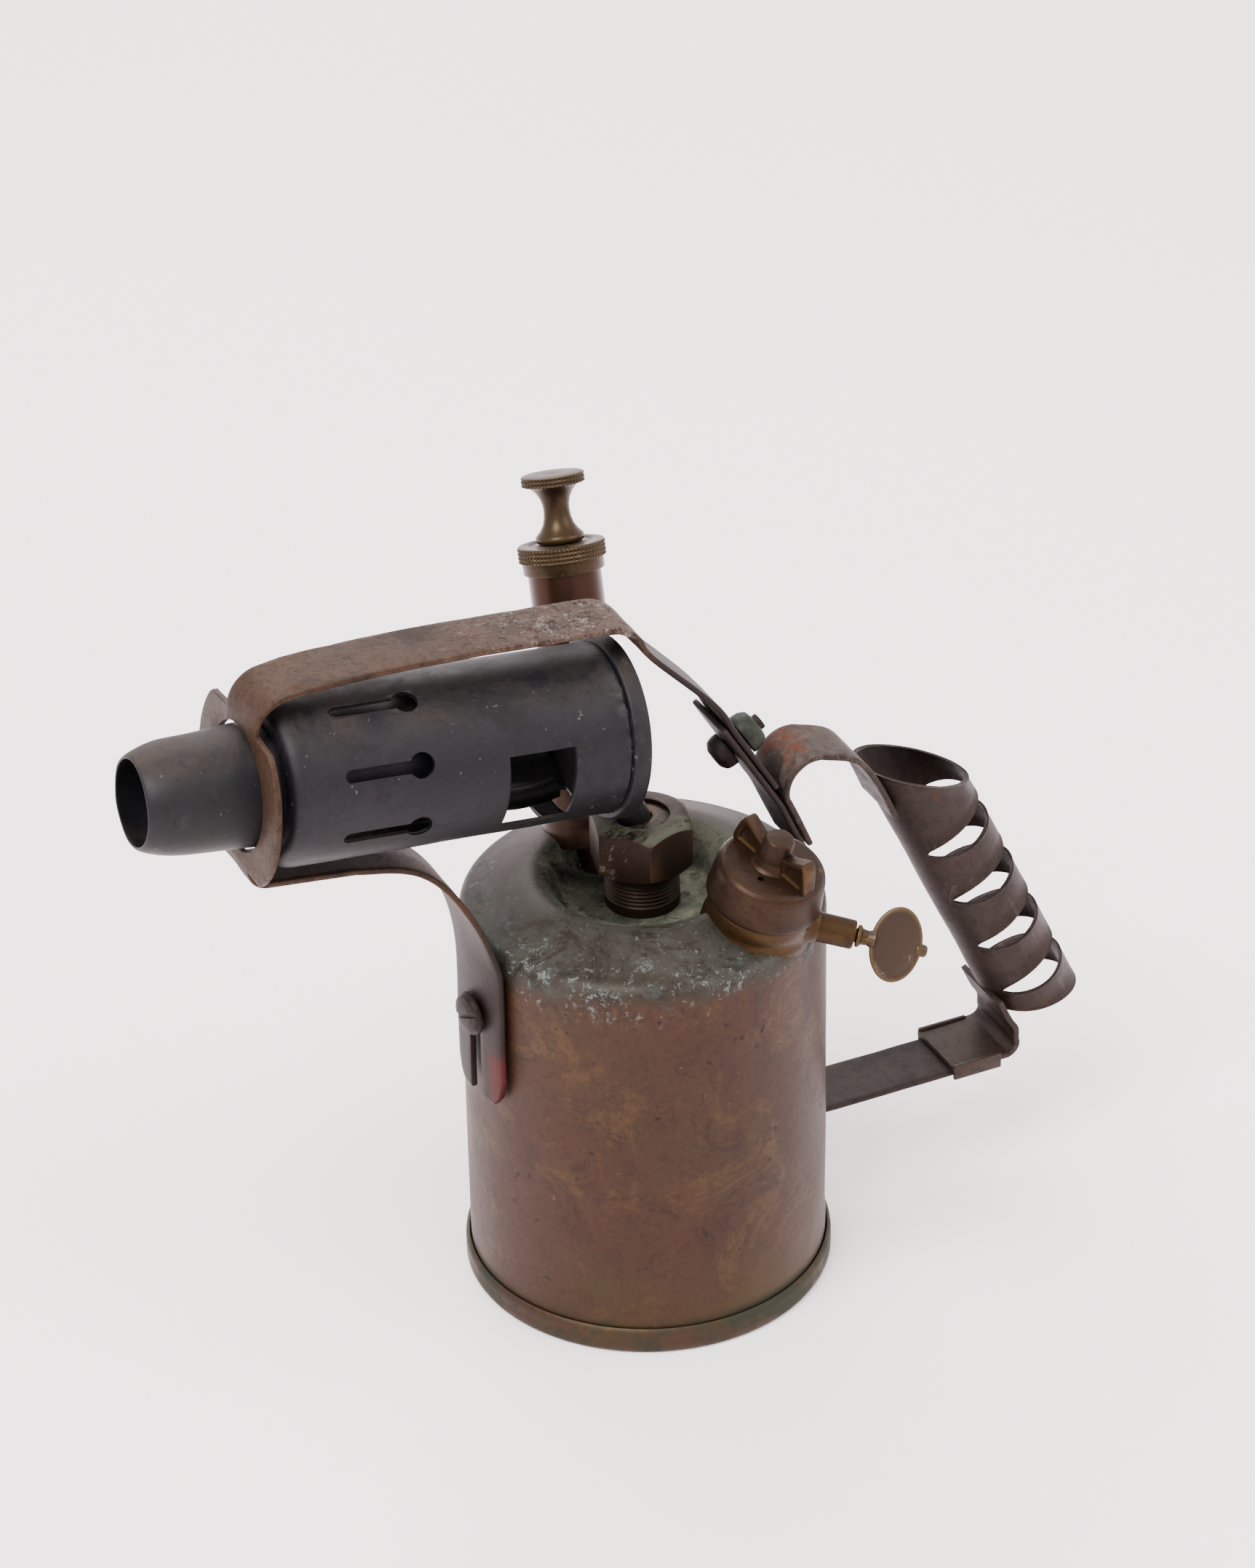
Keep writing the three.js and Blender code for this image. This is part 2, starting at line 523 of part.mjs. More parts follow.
const ROD_R = 2.2;
const PISTON_Z = -18; // height of the piston in the barrel, with the knob pushed home
add("pump_rod", disc(ROD_R, PISTON_Z - 6, KNOB_Z - GAP, 16), steel, pump);
add("piston_plate", tube(7.4, ROD_R + GAP, PISTON_Z + 0.4, PISTON_Z + 2, 24), lightBrass, pump);
const cup = turned([
  [ROD_R + GAP, PISTON_Z - 1.4], [7.6, PISTON_Z - 1.4], [7.4, PISTON_Z - 5.4], [8.5, PISTON_Z - 5.4],
  [8.5, PISTON_Z], [ROD_R + GAP, PISTON_Z], [ROD_R + GAP, PISTON_Z - 1.4],
], 28);
add("cup_leather", cup, leather, pump);
add("piston_nut", cut(solid(hexagon(7.5, PISTON_Z - 4.8, PISTON_Z - 1.8)), disc(ROD_R + GAP, PISTON_Z - 9, PISTON_Z + 9, 16)),
  lightBrass, pump);

// ---- filler ----
const neckBlank = turned([
  [9.8, -5], [NECK_R + 0.5, -5], [NECK_R + 0.5, 5], [NECK_R - 0.4, 6.6], [NECK_R, 8.4], [NECK_R, 10.6],
  [NECK_R - 0.6, 11.2], [8, 11.2], [8, -1], [9.8, -1], [9.8, -5],
], 24);
const neckRing = solid(at(neckBlank, filler)).subtract(solid(tankClear)).add(
  solid(at(tube(9.9, 8, -5, 8, 24), filler)),
);
const releaseFrame = placed(FILLER_AT.clone().addScaledVector(FILLER_DIR, 6), SCREW_DIR, FILLER_DIR);
const releaseBoss = at(disc(3.8, 10.5, 25, 18), releaseFrame);
const releaseBore = at(disc(2.1, 6, 30, 16), releaseFrame);
add("filler_neck", neckRing.add(solid(releaseBoss).subtract(solid(tankClear))).subtract(solid(releaseBore)), lightBrass);

add("cap_washer", tube(11.6, 8.2, 11.6, 12.9, 28), rubber, filler);
const WING_TURN = -40;
const wing = (sign) => {
  const g = new THREE.ExtrudeGeometry(
    new THREE.Shape([[2.5, 22.4], [12.6, 22.4], [13, 24.8], [11.8, 30.4], [10, 31], [2.5, 28.4]]
      .map(([x, z]) => new THREE.Vector2(x, z))),
    { depth: 2.6, bevelEnabled: false },
  );
  g.rotateX(Math.PI / 2);
  g.translate(0, 1.3, 0);
  if (sign < 0) g.rotateZ(Math.PI);
  g.rotateZ(THREE.MathUtils.degToRad(WING_TURN));
  return welded(g);
};
const capBody = turned([
  [7.2, 5], [7.2, 13.1], [12.1, 13.1], [12.1, 11.7], [CAP_R - 0.3, 11.7], [CAP_R, 12.4], [CAP_R - 0.8, 21.6],
  [CAP_R - 2.2, 23.2], [0, 23.2], [0, 16.4], [5.6, 16.4], [5.6, 5], [7.2, 5],
], 26);
const capCone = turned([[0, 22.9], [4, 22.9], [3.5, 31.2], [0, 31.6]], 16);
add("filler_cap", joined(capBody, wing(1), wing(-1), capCone), brass, filler);

const headOval = disc(1, -1, 1, 28);
headOval.scale(6.65, 9.75, 1.1);
headOval.rotateX(Math.PI / 2);
const headTurned = headOval.clone();
headTurned.rotateY(Math.PI / 2);
headTurned.rotateZ(THREE.MathUtils.degToRad(-40));
headTurned.translate(0, 0, 35.8);
const releaseScrew = joined(
  turned([[0, 11.5], [1.8, 14.5], [1.8, 30], [0, 30]], 14),
  turned([[0, 25.6], [3, 25.6], [2.1, 26.8], [2.1, 31], [0, 31]], 14),
  headTurned,
  disc(1.6, 40, 44, 12),
);
add("release_screw", releaseScrew, brass, releaseFrame);

export default lamp;
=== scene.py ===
import math

import bmesh
import bpy
from mathutils import Matrix, Vector, noise


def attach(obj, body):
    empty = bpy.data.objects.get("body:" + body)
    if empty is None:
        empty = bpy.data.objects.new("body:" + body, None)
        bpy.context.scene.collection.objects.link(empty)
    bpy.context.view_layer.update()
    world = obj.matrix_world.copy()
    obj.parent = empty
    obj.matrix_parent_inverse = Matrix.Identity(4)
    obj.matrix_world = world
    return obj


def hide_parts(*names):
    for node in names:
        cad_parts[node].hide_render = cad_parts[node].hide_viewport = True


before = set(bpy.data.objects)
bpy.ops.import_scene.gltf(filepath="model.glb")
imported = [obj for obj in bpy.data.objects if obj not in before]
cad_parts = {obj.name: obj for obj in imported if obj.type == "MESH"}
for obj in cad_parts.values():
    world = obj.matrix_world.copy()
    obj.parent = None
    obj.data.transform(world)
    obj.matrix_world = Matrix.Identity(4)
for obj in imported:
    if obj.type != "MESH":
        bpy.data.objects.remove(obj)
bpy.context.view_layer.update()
MM = 0.001

# ---- driving dimensions, the same as the CAD's ----
TANK_R = 47.5
BOSS_R = 9.8
NUT_AF, NUT_Z0, NUT_Z1 = 24.5, 121.5, 135.5
RISER_R = 4.2
TILT = math.radians(5.7)
BURNER_AT = Vector((-7.6, 0, 164))
CASING_R, CASING_LEN, CASING_FROM = 21.9, 95.5, 5.1
RING_R, RING_T = 23.6, 4.8
FLAME_R, FLAME_FROM = 15.8, 55
STRAP_W, STRAP_T, FORK_W, FORK_Y, FORK_Z = 18, 1.6, 22, -5, 93.2
FORK_OUT, FORK_TURN = 2.3, 0.101
PLATE_AT, PLATE_R, PLATE_UP, PLATE_DOWN = 100.5, 25.5, 30.3, -24.4
BARREL_R, BARREL_IN, BARREL_OUT = 9.5, 34, 71.2
GRIP_R, GRIP_LEN, LOWER_Z = 12.2, 88, 33
GRIP_TOP = Vector((78, 0, 128))
GRIP_DIR = Vector((0.428, 0, -0.904)).normalized()
FILLER_AT = Vector((17.9, -28.1, 111.1))
VENT = (-2.4, -7.2)
FILLER_DIR = Vector((0.129, -0.224, 0.966)).normalized()
SCREW_DIR = Vector((0.834, -0.501, -0.228)).normalized()


# ---- frames of the slanted groups ----
def placed(at, z, side=(1, 0, 0)):
    """The matrix that carries +Z to z and the origin to at, with +X roughly towards side."""
    z = Vector(z).normalized()
    y = z.cross(Vector(side)).normalized()
    x = y.cross(z)
    return Matrix(((x.x, y.x, z.x, at[0]), (x.y, y.y, z.y, at[1]), (x.z, y.z, z.z, at[2]), (0, 0, 0, 1)))


AXIS = Vector((-math.cos(TILT), 0, math.sin(TILT)))
UP = Vector((math.sin(TILT), 0, math.cos(TILT)))
HERE = Matrix.Identity(4)
burner = placed(BURNER_AT, AXIS, UP)
riser = placed((-1.2, 0, 133), (-math.sin(math.radians(21.8)), 0, math.cos(math.radians(21.8))))
pump = placed((0, 27.2, 117.9), (0.0485, 0.35, 0.9355))
filler = placed(FILLER_AT, FILLER_DIR, SCREW_DIR)
release = placed(FILLER_AT + 6 * FILLER_DIR, SCREW_DIR, FILLER_DIR)
grip = placed(GRIP_TOP, GRIP_DIR, (0, 1, 0))
SLOPE = Vector((0.515, -0.857)).normalized()
BOLT = (26.5, 149.4)
bolt_frame = placed((BOLT[0], 0, BOLT[1]), (-SLOPE.y, 0, SLOPE.x), (0, 1, 0))
fork_x = -(TANK_R + FORK_OUT)
screw_frame = placed((-TANK_R, FORK_Y, FORK_Z), (-1, -FORK_TURN, 0), (0, 1, 0))


def on_burner(s, up):
    """The (x, z) point s along the burner's axis and up from it."""
    v = BURNER_AT + AXIS * s + UP * up
    return (v.x, v.z)


def along_back(d, n):
    """The (x, z) point d down the slanting straps from the clamp bolt, and n off them."""
    return (BOLT[0] + SLOPE.x * d - SLOPE.y * n, BOLT[1] + SLOPE.y * d + SLOPE.x * n)


def on_grip(down, out):
    """The (x, z) point down the grip's axis from its top, and out from it, away from the tank."""
    x = GRIP_TOP.x + GRIP_DIR.x * down - GRIP_DIR.z * out
    z = GRIP_TOP.z + GRIP_DIR.z * down + GRIP_DIR.x * out
    return (x, z)


def arc(centre, r, a0, a1, steps=12):
    out = []
    for i in range(steps + 1):
        a = math.radians(a0 + (a1 - a0) * i / steps)
        out.append((centre[0] + r * math.cos(a), centre[1] + r * math.sin(a)))
    return out


def smooth(points, per=8):
    """A Catmull-Rom line through points of any dimension."""
    p = [Vector(q) for q in points]
    out = []
    for i in range(len(p) - 1):
        a, b, c, d = p[max(i - 1, 0)], p[i], p[i + 1], p[min(i + 2, len(p) - 1)]
        for k in range(per):
            t = k / per
            square, cube = 2 * a - 5 * b + 4 * c - d, 3 * b - a - 3 * c + d
            out.append(0.5 * (2 * b + (c - a) * t + square * t * t + cube * t**3))
    out.append(p[-1])
    return out


# ---- meshes ----
def made(name, verts, faces, matrix=HERE, angle=35, bevel=0.0):
    """An object from vertices in mm, shaded smooth except at edges sharper than angle."""
    mesh = bpy.data.meshes.new(name)
    mesh.from_pydata([(matrix @ Vector(v)) * MM for v in verts], [], faces)
    obj = bpy.data.objects.new(name, mesh)
    bpy.context.collection.objects.link(obj)
    tidy(mesh)
    finish_mesh(obj, angle, bevel)
    return obj


def tidy(mesh):
    bm = bmesh.new()
    bm.from_mesh(mesh)
    bmesh.ops.remove_doubles(bm, verts=bm.verts, dist=1e-7)
    bmesh.ops.recalc_face_normals(bm, faces=bm.faces)
    bm.to_mesh(mesh)
    bm.free()


def finish_mesh(obj, angle=35, bevel=0.0):
    if bevel:
        b = obj.modifiers.new("bevel", "BEVEL")
        b.width = bevel * MM
        b.segments = 2
        b.limit_method = "ANGLE"
        b.angle_limit = math.radians(angle)
    applied(obj)
    obj.data.shade_smooth()
    obj.data.set_sharp_from_angle(angle=math.radians(angle))


def applied(obj):
    """Bakes the object's modifiers into its mesh."""
    if not obj.modifiers:
        return
    deps = bpy.context.evaluated_depsgraph_get()
    mesh = bpy.data.meshes.new_from_object(obj.evaluated_get(deps))
    obj.modifiers.clear()
    old = obj.data
    obj.data = mesh
    bpy.data.meshes.remove(old)


def boolean(obj, operation, *tools, angle=35, bevel=0.0):
    for tool in tools:
        m = obj.modifiers.new("cut", "BOOLEAN")
        m.operation = operation
        m.object = tool
        m.solver = "EXACT"
        applied(obj)
        bpy.data.objects.remove(tool, do_unlink=True)
    finish_mesh(obj, angle, bevel)
    return obj


def joined(name, *objs):
    """One piece from several meshes that touch."""
    bm = bmesh.new()
    for o in objs:
        bm.from_mesh(o.data)
    mesh = bpy.data.meshes.new(name)
    bm.to_mesh(mesh)
    bm.free()
    for o in objs:
        bpy.data.objects.remove(o, do_unlink=True)
    obj = bpy.data.objects.new(name, mesh)
    bpy.context.collection.objects.link(obj)
    return obj


def lathe(name, profile, matrix=HERE, segs=96, angle=35, knurl=None):
    """A profile of (radius, height) turned about the frame's Z. knurl is (z0, z1, count, depth, twist)."""
    verts, rows = [], []
    for r, z in profile:
        if r < 1e-6:
            rows.append([len(verts)])
            verts.append((0, 0, z))
            continue
        row = []
        for i in range(segs):
            a = 2 * math.pi * i / segs
            rr = r
            if knurl and knurl[0] <= z <= knurl[1]:
                wave = math.cos(knurl[2] * a + knurl[4] * z) * math.cos(knurl[2] * a - knurl[4] * z)
                rr = r - knurl[3] * (0.5 - 0.5 * wave)
            row.append(len(verts))
            verts.append((rr * math.cos(a), rr * math.sin(a), z))
        rows.append(row)
    faces = []
    for a, b in zip(rows, rows[1:]):
        for i in range(segs):
            j = (i + 1) % segs
            if len(a) == 1 and len(b) == 1:
                continue
            if len(a) == 1:
                faces.append((a[0], b[i], b[j]))
            elif len(b) == 1:
                faces.append((a[i], b[0], a[j]))
            else:
                faces.append((a[i], b[i], b[j], a[j]))
    return made(name, verts, faces, matrix, angle)


def rounded(profile, r=0.4, steps=3):
    """Rounds the corners of an open profile."""
    p = [Vector(q) for q in profile]
    out = [p[0]]
    for a, b, c in zip(p, p[1:], p[2:]):
        u, v = a - b, c - b
        k = min(r, u.length * 0.45, v.length * 0.45)
        if k < 1e-6 or u.length < 1e-6 or v.length < 1e-6:
            out.append(b)
            continue
        u, v = u.normalized() * k, v.normalized() * k
        for i in range(steps + 1):
            t = i / steps
            out.append((b + u) * (1 - t) ** 2 + b * 2 * t * (1 - t) + (b + v) * t * t)
    out.append(p[-1])
    return [tuple(q) for q in out]


def prism(name, outline, z0, z1, matrix=HERE, angle=35, bevel=0.0):
    """An outline of (x, y) points extruded along the frame's Z."""
    n = len(outline)
    verts = [(x, y, z0) for x, y in outline] + [(x, y, z1) for x, y in outline]
    faces = [tuple(range(n)), tuple(range(n, 2 * n))]
    faces += [(i, (i + 1) % n, n + (i + 1) % n, n + i) for i in range(n)]
    return made(name, verts, faces, matrix, angle, bevel)


def circle(r, n=48, turn=0.0, x=0.0, y=0.0):
    angles = [turn + 2 * math.pi * i / n for i in range(n)]
    return [(x + r * math.cos(a), y + r * math.sin(a)) for a in angles]


def block(name, dx, dy, dz, x=0, y=0, z=0, matrix=HERE, bevel=0.0):
    x0, x1, y0, y1 = x - dx / 2, x + dx / 2, y - dy / 2, y + dy / 2
    return prism(name, [(x0, y0), (x1, y0), (x1, y1), (x0, y1)], z - dz / 2, z + dz / 2, matrix,
                 bevel=bevel)


def swept(name, points, r, matrix=HERE, sides=20):
    """A round pipe along a smooth line of 3-D points."""
    line = smooth(points, 8)
    verts, faces = [], []
    normal = Vector((0, 1, 0))
    for i, p in enumerate(line):
        t = (line[min(i + 1, len(line) - 1)] - line[max(i - 1, 0)]).normalized()
        normal = (normal - t * normal.dot(t)).normalized()
        side = t.cross(normal)
        for k in range(sides):
            a = 2 * math.pi * k / sides
            verts.append(p + (normal * math.cos(a) + side * math.sin(a)) * r)
    for i in range(len(line) - 1):
        for k in range(sides):
            a, b = i * sides + k, i * sides + (k + 1) % sides
            faces.append((a, b, b + sides, a + sides))
    faces.append(tuple(range(sides)))
    faces.append(tuple(range(len(verts) - sides, len(verts))))
    return made(name, verts, faces, matrix)


EDGE_WAVE = 0.25


def ribbon(name, path, width, thick=STRAP_T, shift=None, bend=None, across=10, wave=0.12, bevel=0.5):
    """A strip across Y along a line of (x, z) points. width is a number, or gives one for each point.
    shift gives the middle's Y, and bend how far the sheet stands back in X at a Y."""
    p = [Vector(q) for q in path]
    verts = []
    for side in (1, -1):
        for i, q in enumerate(p):
            t = (p[min(i + 1, len(p) - 1)] - p[max(i - 1, 0)]).normalized()
            n = Vector((-t.y, t.x)) * thick / 2 * side
            w = width(q) if callable(width) else width
            y0 = shift(q) if shift else 0
            for k in range(across + 1):
                f = k / across - 0.5
                bump = wave * noise.noise(Vector((q.x * 0.06, f * 3, q.y * 0.06)))
                y = y0 + w * f
                back = bend(q, y) if bend else 0
                phase = 9 if f > 0 else 0
                edge = EDGE_WAVE * noise.noise(Vector((q.x * 0.12, 0, q.y * 0.12 + phase))) * 2 * f
                trim = edge - math.copysign(abs(edge), f)
                verts.append((q.x + n.x + bump * t.y + back, y + trim, q.y + n.y - bump * t.x))
    m, k = len(p), across + 1
    faces = []
    for s in (0, m * k):
        for i in range(m - 1):
            for j in range(across):
                a = s + i * k + j
                faces.append((a, a + 1, a + 1 + k, a + k))
    for i in range(m - 1):
        for j in (0, across):
            a, b = i * k + j, m * k + i * k + j
            faces.append((a, a + k, b + k, b))
    for i in (0, m - 1):
        for j in range(across):
            a, b = i * k + j, m * k + i * k + j
            faces.append((a, a + 1, b + 1, b))
    return made(name, verts, faces, HERE, 40, bevel)


def dented(obj, depth=0.15, scale=0.03, only=None):
    """Pushes the surface in by up to depth, in slow waves."""
    for v in obj.data.vertices:
        if only and not only(v.co / MM):
            continue
        d = noise.noise(v.co / MM * scale)
        v.co -= v.normal * (abs(d) * depth * MM)
    return obj


# ---- materials ----
TONE, SATURATION = 0.23, 1.65


def srgb(r, g, b, tone=TONE):
    """A linear colour, darkened and made stronger by the two numbers above to suit the bright setting."""
    mean = (r + g + b) / 3

    def lin(c):
        c = max(mean + (c - mean) * (SATURATION if tone != 1 else 1), 0) / 255
        return tone * (c / 12.92 if c <= 0.04045 else ((c + 0.055) / 1.055) ** 2.4)

    return (lin(r), lin(g), lin(b), 1)


class Look:
    """A node material, built up in layers over a base colour."""

    def __init__(self, name, metallic, rough):
        self.mat = bpy.data.materials.new(name)
        self.mat.use_nodes = True
        self.tree = self.mat.node_tree
        self.tree.nodes.clear()
        self.out = self.tree.nodes.new("ShaderNodeOutputMaterial")
        self.bsdf = self.tree.nodes.new("ShaderNodeBsdfPrincipled")
        self.tree.links.new(self.bsdf.outputs[0], self.out.inputs[0])
        self.coord = self.tree.nodes.new("ShaderNodeTexCoord").outputs["Object"]
        self.bsdf.inputs["Metallic"].default_value = metallic
        self.bsdf.inputs["Specular IOR Level"].default_value = 0.25
        self.rough = rough
        self.colour = None
        self.roughness = None
        self.height = None

    def put(self, socket, value):
        if isinstance(value, (int, float)):
            socket.default_value = value
        elif isinstance(value, tuple):
            socket.default_value = value
        else:
            self.tree.links.new(value, socket)

    def math(self, op, a, b=0.0, clamp=False):
        n = self.tree.nodes.new("ShaderNodeMath")
        n.operation = op
        n.use_clamp = clamp
        self.put(n.inputs[0], a)
        self.put(n.inputs[1], b)
        return n.outputs[0]

    def between(self, value, lo, hi):
        """0 at lo and below, 1 at hi and above; lo may be over hi."""
        n = self.tree.nodes.new("ShaderNodeMapRange")
        n.interpolation_type = "SMOOTHSTEP"
        self.put(n.inputs["Value"], value)
        if lo < hi:
            n.inputs["From Min"].default_value, n.inputs["From Max"].default_value = lo, hi
            n.inputs["To Min"].default_value, n.inputs["To Max"].default_value = 0, 1
        else:
            n.inputs["From Min"].default_value, n.inputs["From Max"].default_value = hi, lo
            n.inputs["To Min"].default_value, n.inputs["To Max"].default_value = 1, 0
        return n.outputs["Result"]

    def noise(self, scale, detail=5, rough=0.6, warp=0.0, stretch=None):
        """Scale is in waves per 100 mm, about."""
        n = self.tree.nodes.new("ShaderNodeTexNoise")
        vec = self.coord
        if stretch:
            m = self.tree.nodes.new("ShaderNodeMapping")
            m.inputs["Scale"].default_value = stretch
            self.tree.links.new(vec, m.inputs[0])
            vec = m.outputs[0]
        self.tree.links.new(vec, n.inputs["Vector"])
        n.inputs["Scale"].default_value = scale * 10
        n.inputs["Detail"].default_value = detail
        n.inputs["Roughness"].default_value = rough
        n.inputs["Distortion"].default_value = warp
        return n.outputs["Fac"]

    def axis(self, which):
        n = self.tree.nodes.new("ShaderNodeSeparateXYZ")
        self.tree.links.new(self.coord, n.inputs[0])
        return n.outputs[which]

    def facing_up(self, lo, hi):
        g = self.tree.nodes.new("ShaderNodeNewGeometry")
        n = self.tree.nodes.new("ShaderNodeSeparateXYZ")
        self.tree.links.new(g.outputs["Normal"], n.inputs[0])
        return self.between(n.outputs[2], lo, hi)

    def edges(self, lo=0.51, hi=0.56):
        g = self.tree.nodes.new("ShaderNodeNewGeometry")
        return self.between(g.outputs["Pointiness"], lo, hi)

    def radius(self):
        """Distance from the tank's axis."""
        x, y = self.axis(0), self.axis(1)
        return self.math("SQRT", self.math("ADD", self.math("MULTIPLY", x, x), self.math("MULTIPLY", y, y)))

    def layer(self, mask, colour, rough=None, amount=1.0):
        """Lays colour over what is there, where mask is 1."""
        if amount != 1.0:
            mask = self.math("MULTIPLY", mask, amount)
        if self.colour is None:
            self.colour = colour
        else:
            n = self.tree.nodes.new("ShaderNodeMix")
            n.data_type = "RGBA"
            self.put(n.inputs[0], mask)
            self.put(n.inputs[6], self.colour)
            self.put(n.inputs[7], colour)
            self.colour = n.outputs[2]
        if rough is not None:
            n = self.tree.nodes.new("ShaderNodeMix")
            self.put(n.inputs[0], mask)
            self.put(n.inputs[2], self.rough if self.roughness is None else self.roughness)
            n.inputs[3].default_value = rough
            self.roughness = n.outputs[0]
        return self

    def bump(self, height, strength=0.3, mm=0.3):
        n = self.tree.nodes.new("ShaderNodeBump")
        n.inputs["Strength"].default_value = strength
        n.inputs["Distance"].default_value = mm * MM
        self.tree.links.new(height, n.inputs["Height"])
        if self.height is not None:
            self.tree.links.new(self.height, n.inputs["Normal"])
        self.height = n.outputs[0]
        return self

    def done(self):
        self.put(self.bsdf.inputs["Base Color"], self.colour)
        self.put(self.bsdf.inputs["Roughness"], self.rough if self.roughness is None else self.roughness)
        if self.height is not None:
            self.tree.links.new(self.height, self.bsdf.inputs["Normal"])
        return self.mat


def both(look, a, b):
    return look.math("MULTIPLY", a, b)


def tank_look():
    k = Look("aged tank brass", 0.45, 0.5)
    k.layer(1, srgb(93, 72, 60))
    k.layer(k.between(k.noise(0.3, 5, 0.65, 0.8), 0.42, 0.6), srgb(88, 74, 58))
    k.layer(k.between(k.noise(0.42, 5, 0.65, 0.6), 0.48, 0.66), srgb(104, 76, 65))
    k.layer(k.between(k.noise(2.4, 7, 0.75, 0.8, (1, 1, 0.3)), 0.48, 0.7), srgb(78, 60, 52), 0.52, 0.75)
    k.layer(k.between(k.noise(3, 7, 0.8, 1.2), 0.5, 0.62), srgb(116, 96, 68), 0.42, 0.6)
    k.layer(k.between(k.noise(7, 7, 0.8, 0.8), 0.52, 0.62), srgb(62, 50, 42), 0.55, 0.5)
    k.layer(k.between(k.noise(5, 7, 0.8, 0.6), 0.5, 0.66), srgb(74, 60, 50), 0.5, 0.5)
    k.layer(k.between(k.noise(24, 3, 0.6), 0.66, 0.72), srgb(42, 34, 30), 0.6, 0.8)
    k.layer(k.between(k.noise(60, 5, 0.8), 0.5, 0.62), srgb(66, 50, 42), 0.55, 0.45)
    k.layer(k.between(k.noise(0.8, 7, 0.8, 0.4), 0.56, 0.66), srgb(84, 84, 60), 0.5, 0.5)
    k.layer(k.between(k.noise(1.6, 7, 0.8, 0.6), 0.63, 0.7), srgb(136, 122, 100), 0.5, 0.55)
    k.layer(k.between(k.noise(40, 4, 0.7), 0.68, 0.72), srgb(158, 146, 130), 0.7, 0.6)
    k.layer(k.between(k.noise(3, 6, 0.8, 0.3, (1, 1, 0.08)), 0.6, 0.7), srgb(124, 108, 88), 0.5, 0.45)
    # the lower wall is a little more golden, the rim seam darker and green
    z = k.axis(2)
    golden = both(k, k.between(z, 0.034, 0.008), k.between(k.noise(1.5, 5, 0.7), 0.35, 0.65))
    k.layer(golden, srgb(98, 84, 58), 0.45, 0.8)
    seam = both(k, k.between(z, 0.0105, 0.0075), k.between(k.noise(6, 5, 0.7), 0.4, 0.6))
    k.layer(seam, srgb(70, 76, 64), 0.7, 0.8)
    # the shoulder's grey-green bloom, with an uneven lower edge
    edge = k.math("ADD", z, k.math("MULTIPLY", k.math("SUBTRACT", k.noise(1.2, 7, 0.8, 0.8), 0.5), 0.02))
    top = k.between(edge, 0.1045, 0.1115)
    k.layer(top, srgb(82, 77, 69), 0.52)
    k.layer(both(k, top, k.between(k.noise(1.8, 6, 0.75, 1), 0.46, 0.62)), srgb(104, 104, 97), 0.6, 0.85)
    k.layer(both(k, top, k.between(k.noise(5, 7, 0.85, 1), 0.49, 0.6)), srgb(58, 49, 42), 0.5, 0.85)
    k.layer(both(k, top, k.between(k.noise(7, 6, 0.8, 1), 0.56, 0.64)), srgb(46, 44, 40), 0.6, 0.7)
    specks = both(k, k.between(k.noise(34, 6, 0.85, 0.5), 0.54, 0.6),
                  k.between(k.noise(5, 7, 0.85), 0.46, 0.54))
    band = both(k, k.between(z, 0.099, 0.1075), k.between(z, 0.1175, 0.1125))
    k.layer(both(k, specks, band), srgb(190, 198, 195), 0.8, 0.9)
    fine = both(k, k.between(k.noise(48, 4, 0.8), 0.62, 0.67), k.between(z, 0.106, 0.112))
    k.layer(fine, srgb(170, 182, 174), 0.8, 0.8)
    tint = both(k, k.between(k.noise(9, 7, 0.85), 0.54, 0.63), band)
    k.layer(tint, srgb(104, 120, 116), 0.8, 0.6)
    # the priming dish
    r = k.radius()
    dish = both(k, k.between(r, 0.0285, 0.0245), k.between(z, 0.1, 0.105))
    k.layer(dish, srgb(108, 112, 100), 0.75)
    k.layer(both(k, dish, k.between(k.noise(2.4, 6, 0.75, 0.6), 0.42, 0.58)), srgb(200, 202, 184), 0.85,
            0.9)
    k.layer(both(k, dish, k.between(k.noise(18, 7, 0.85, 0.4), 0.52, 0.6)), srgb(46, 48, 42), 0.8, 0.9)
    k.layer(both(k, dish, k.between(k.noise(5, 6, 0.8, 0.9), 0.6, 0.68)), srgb(118, 148, 134), 0.85, 0.8)
    k.bump(k.noise(5, 5, 0.6), 0.18, 0.4)
    k.bump(k.noise(45, 6, 0.8), 0.2, 0.12)
    return k.done()


def brass_look(name, main, second, edge_wear_and_highlight, dark, rough=0.36, metallic=0.8, grain=1.0):
    k = Look(name, metallic, rough)
    k.layer(1, srgb(*main))
    k.layer(k.between(k.noise(1.4 * grain, 6, 0.65, 0.8), 0.44, 0.62), srgb(*second), rough + 0.08)
    k.layer(k.between(k.noise(4 * grain, 6, 0.7, 0.5), 0.54, 0.7), srgb(*dark), rough + 0.16, 0.75)
    k.layer(k.between(k.noise(45, 5, 0.8), 0.5, 0.64), srgb(*dark), rough + 0.1, 0.45)
    # raised edges, found by pointiness, are lighter and golden: partly edge wear, partly a painted
    # highlight
    k.layer(k.edges(0.52, 0.6), srgb(*edge_wear_and_highlight), rough - 0.04, 0.45)
    k.layer(k.between(k.noise(30, 4, 0.7), 0.66, 0.72), srgb(*[min(255, c + 60) for c in main]), 0.6, 0.5)
    k.bump(k.noise(40, 5, 0.75), 0.14, 0.12)
    return k.done()


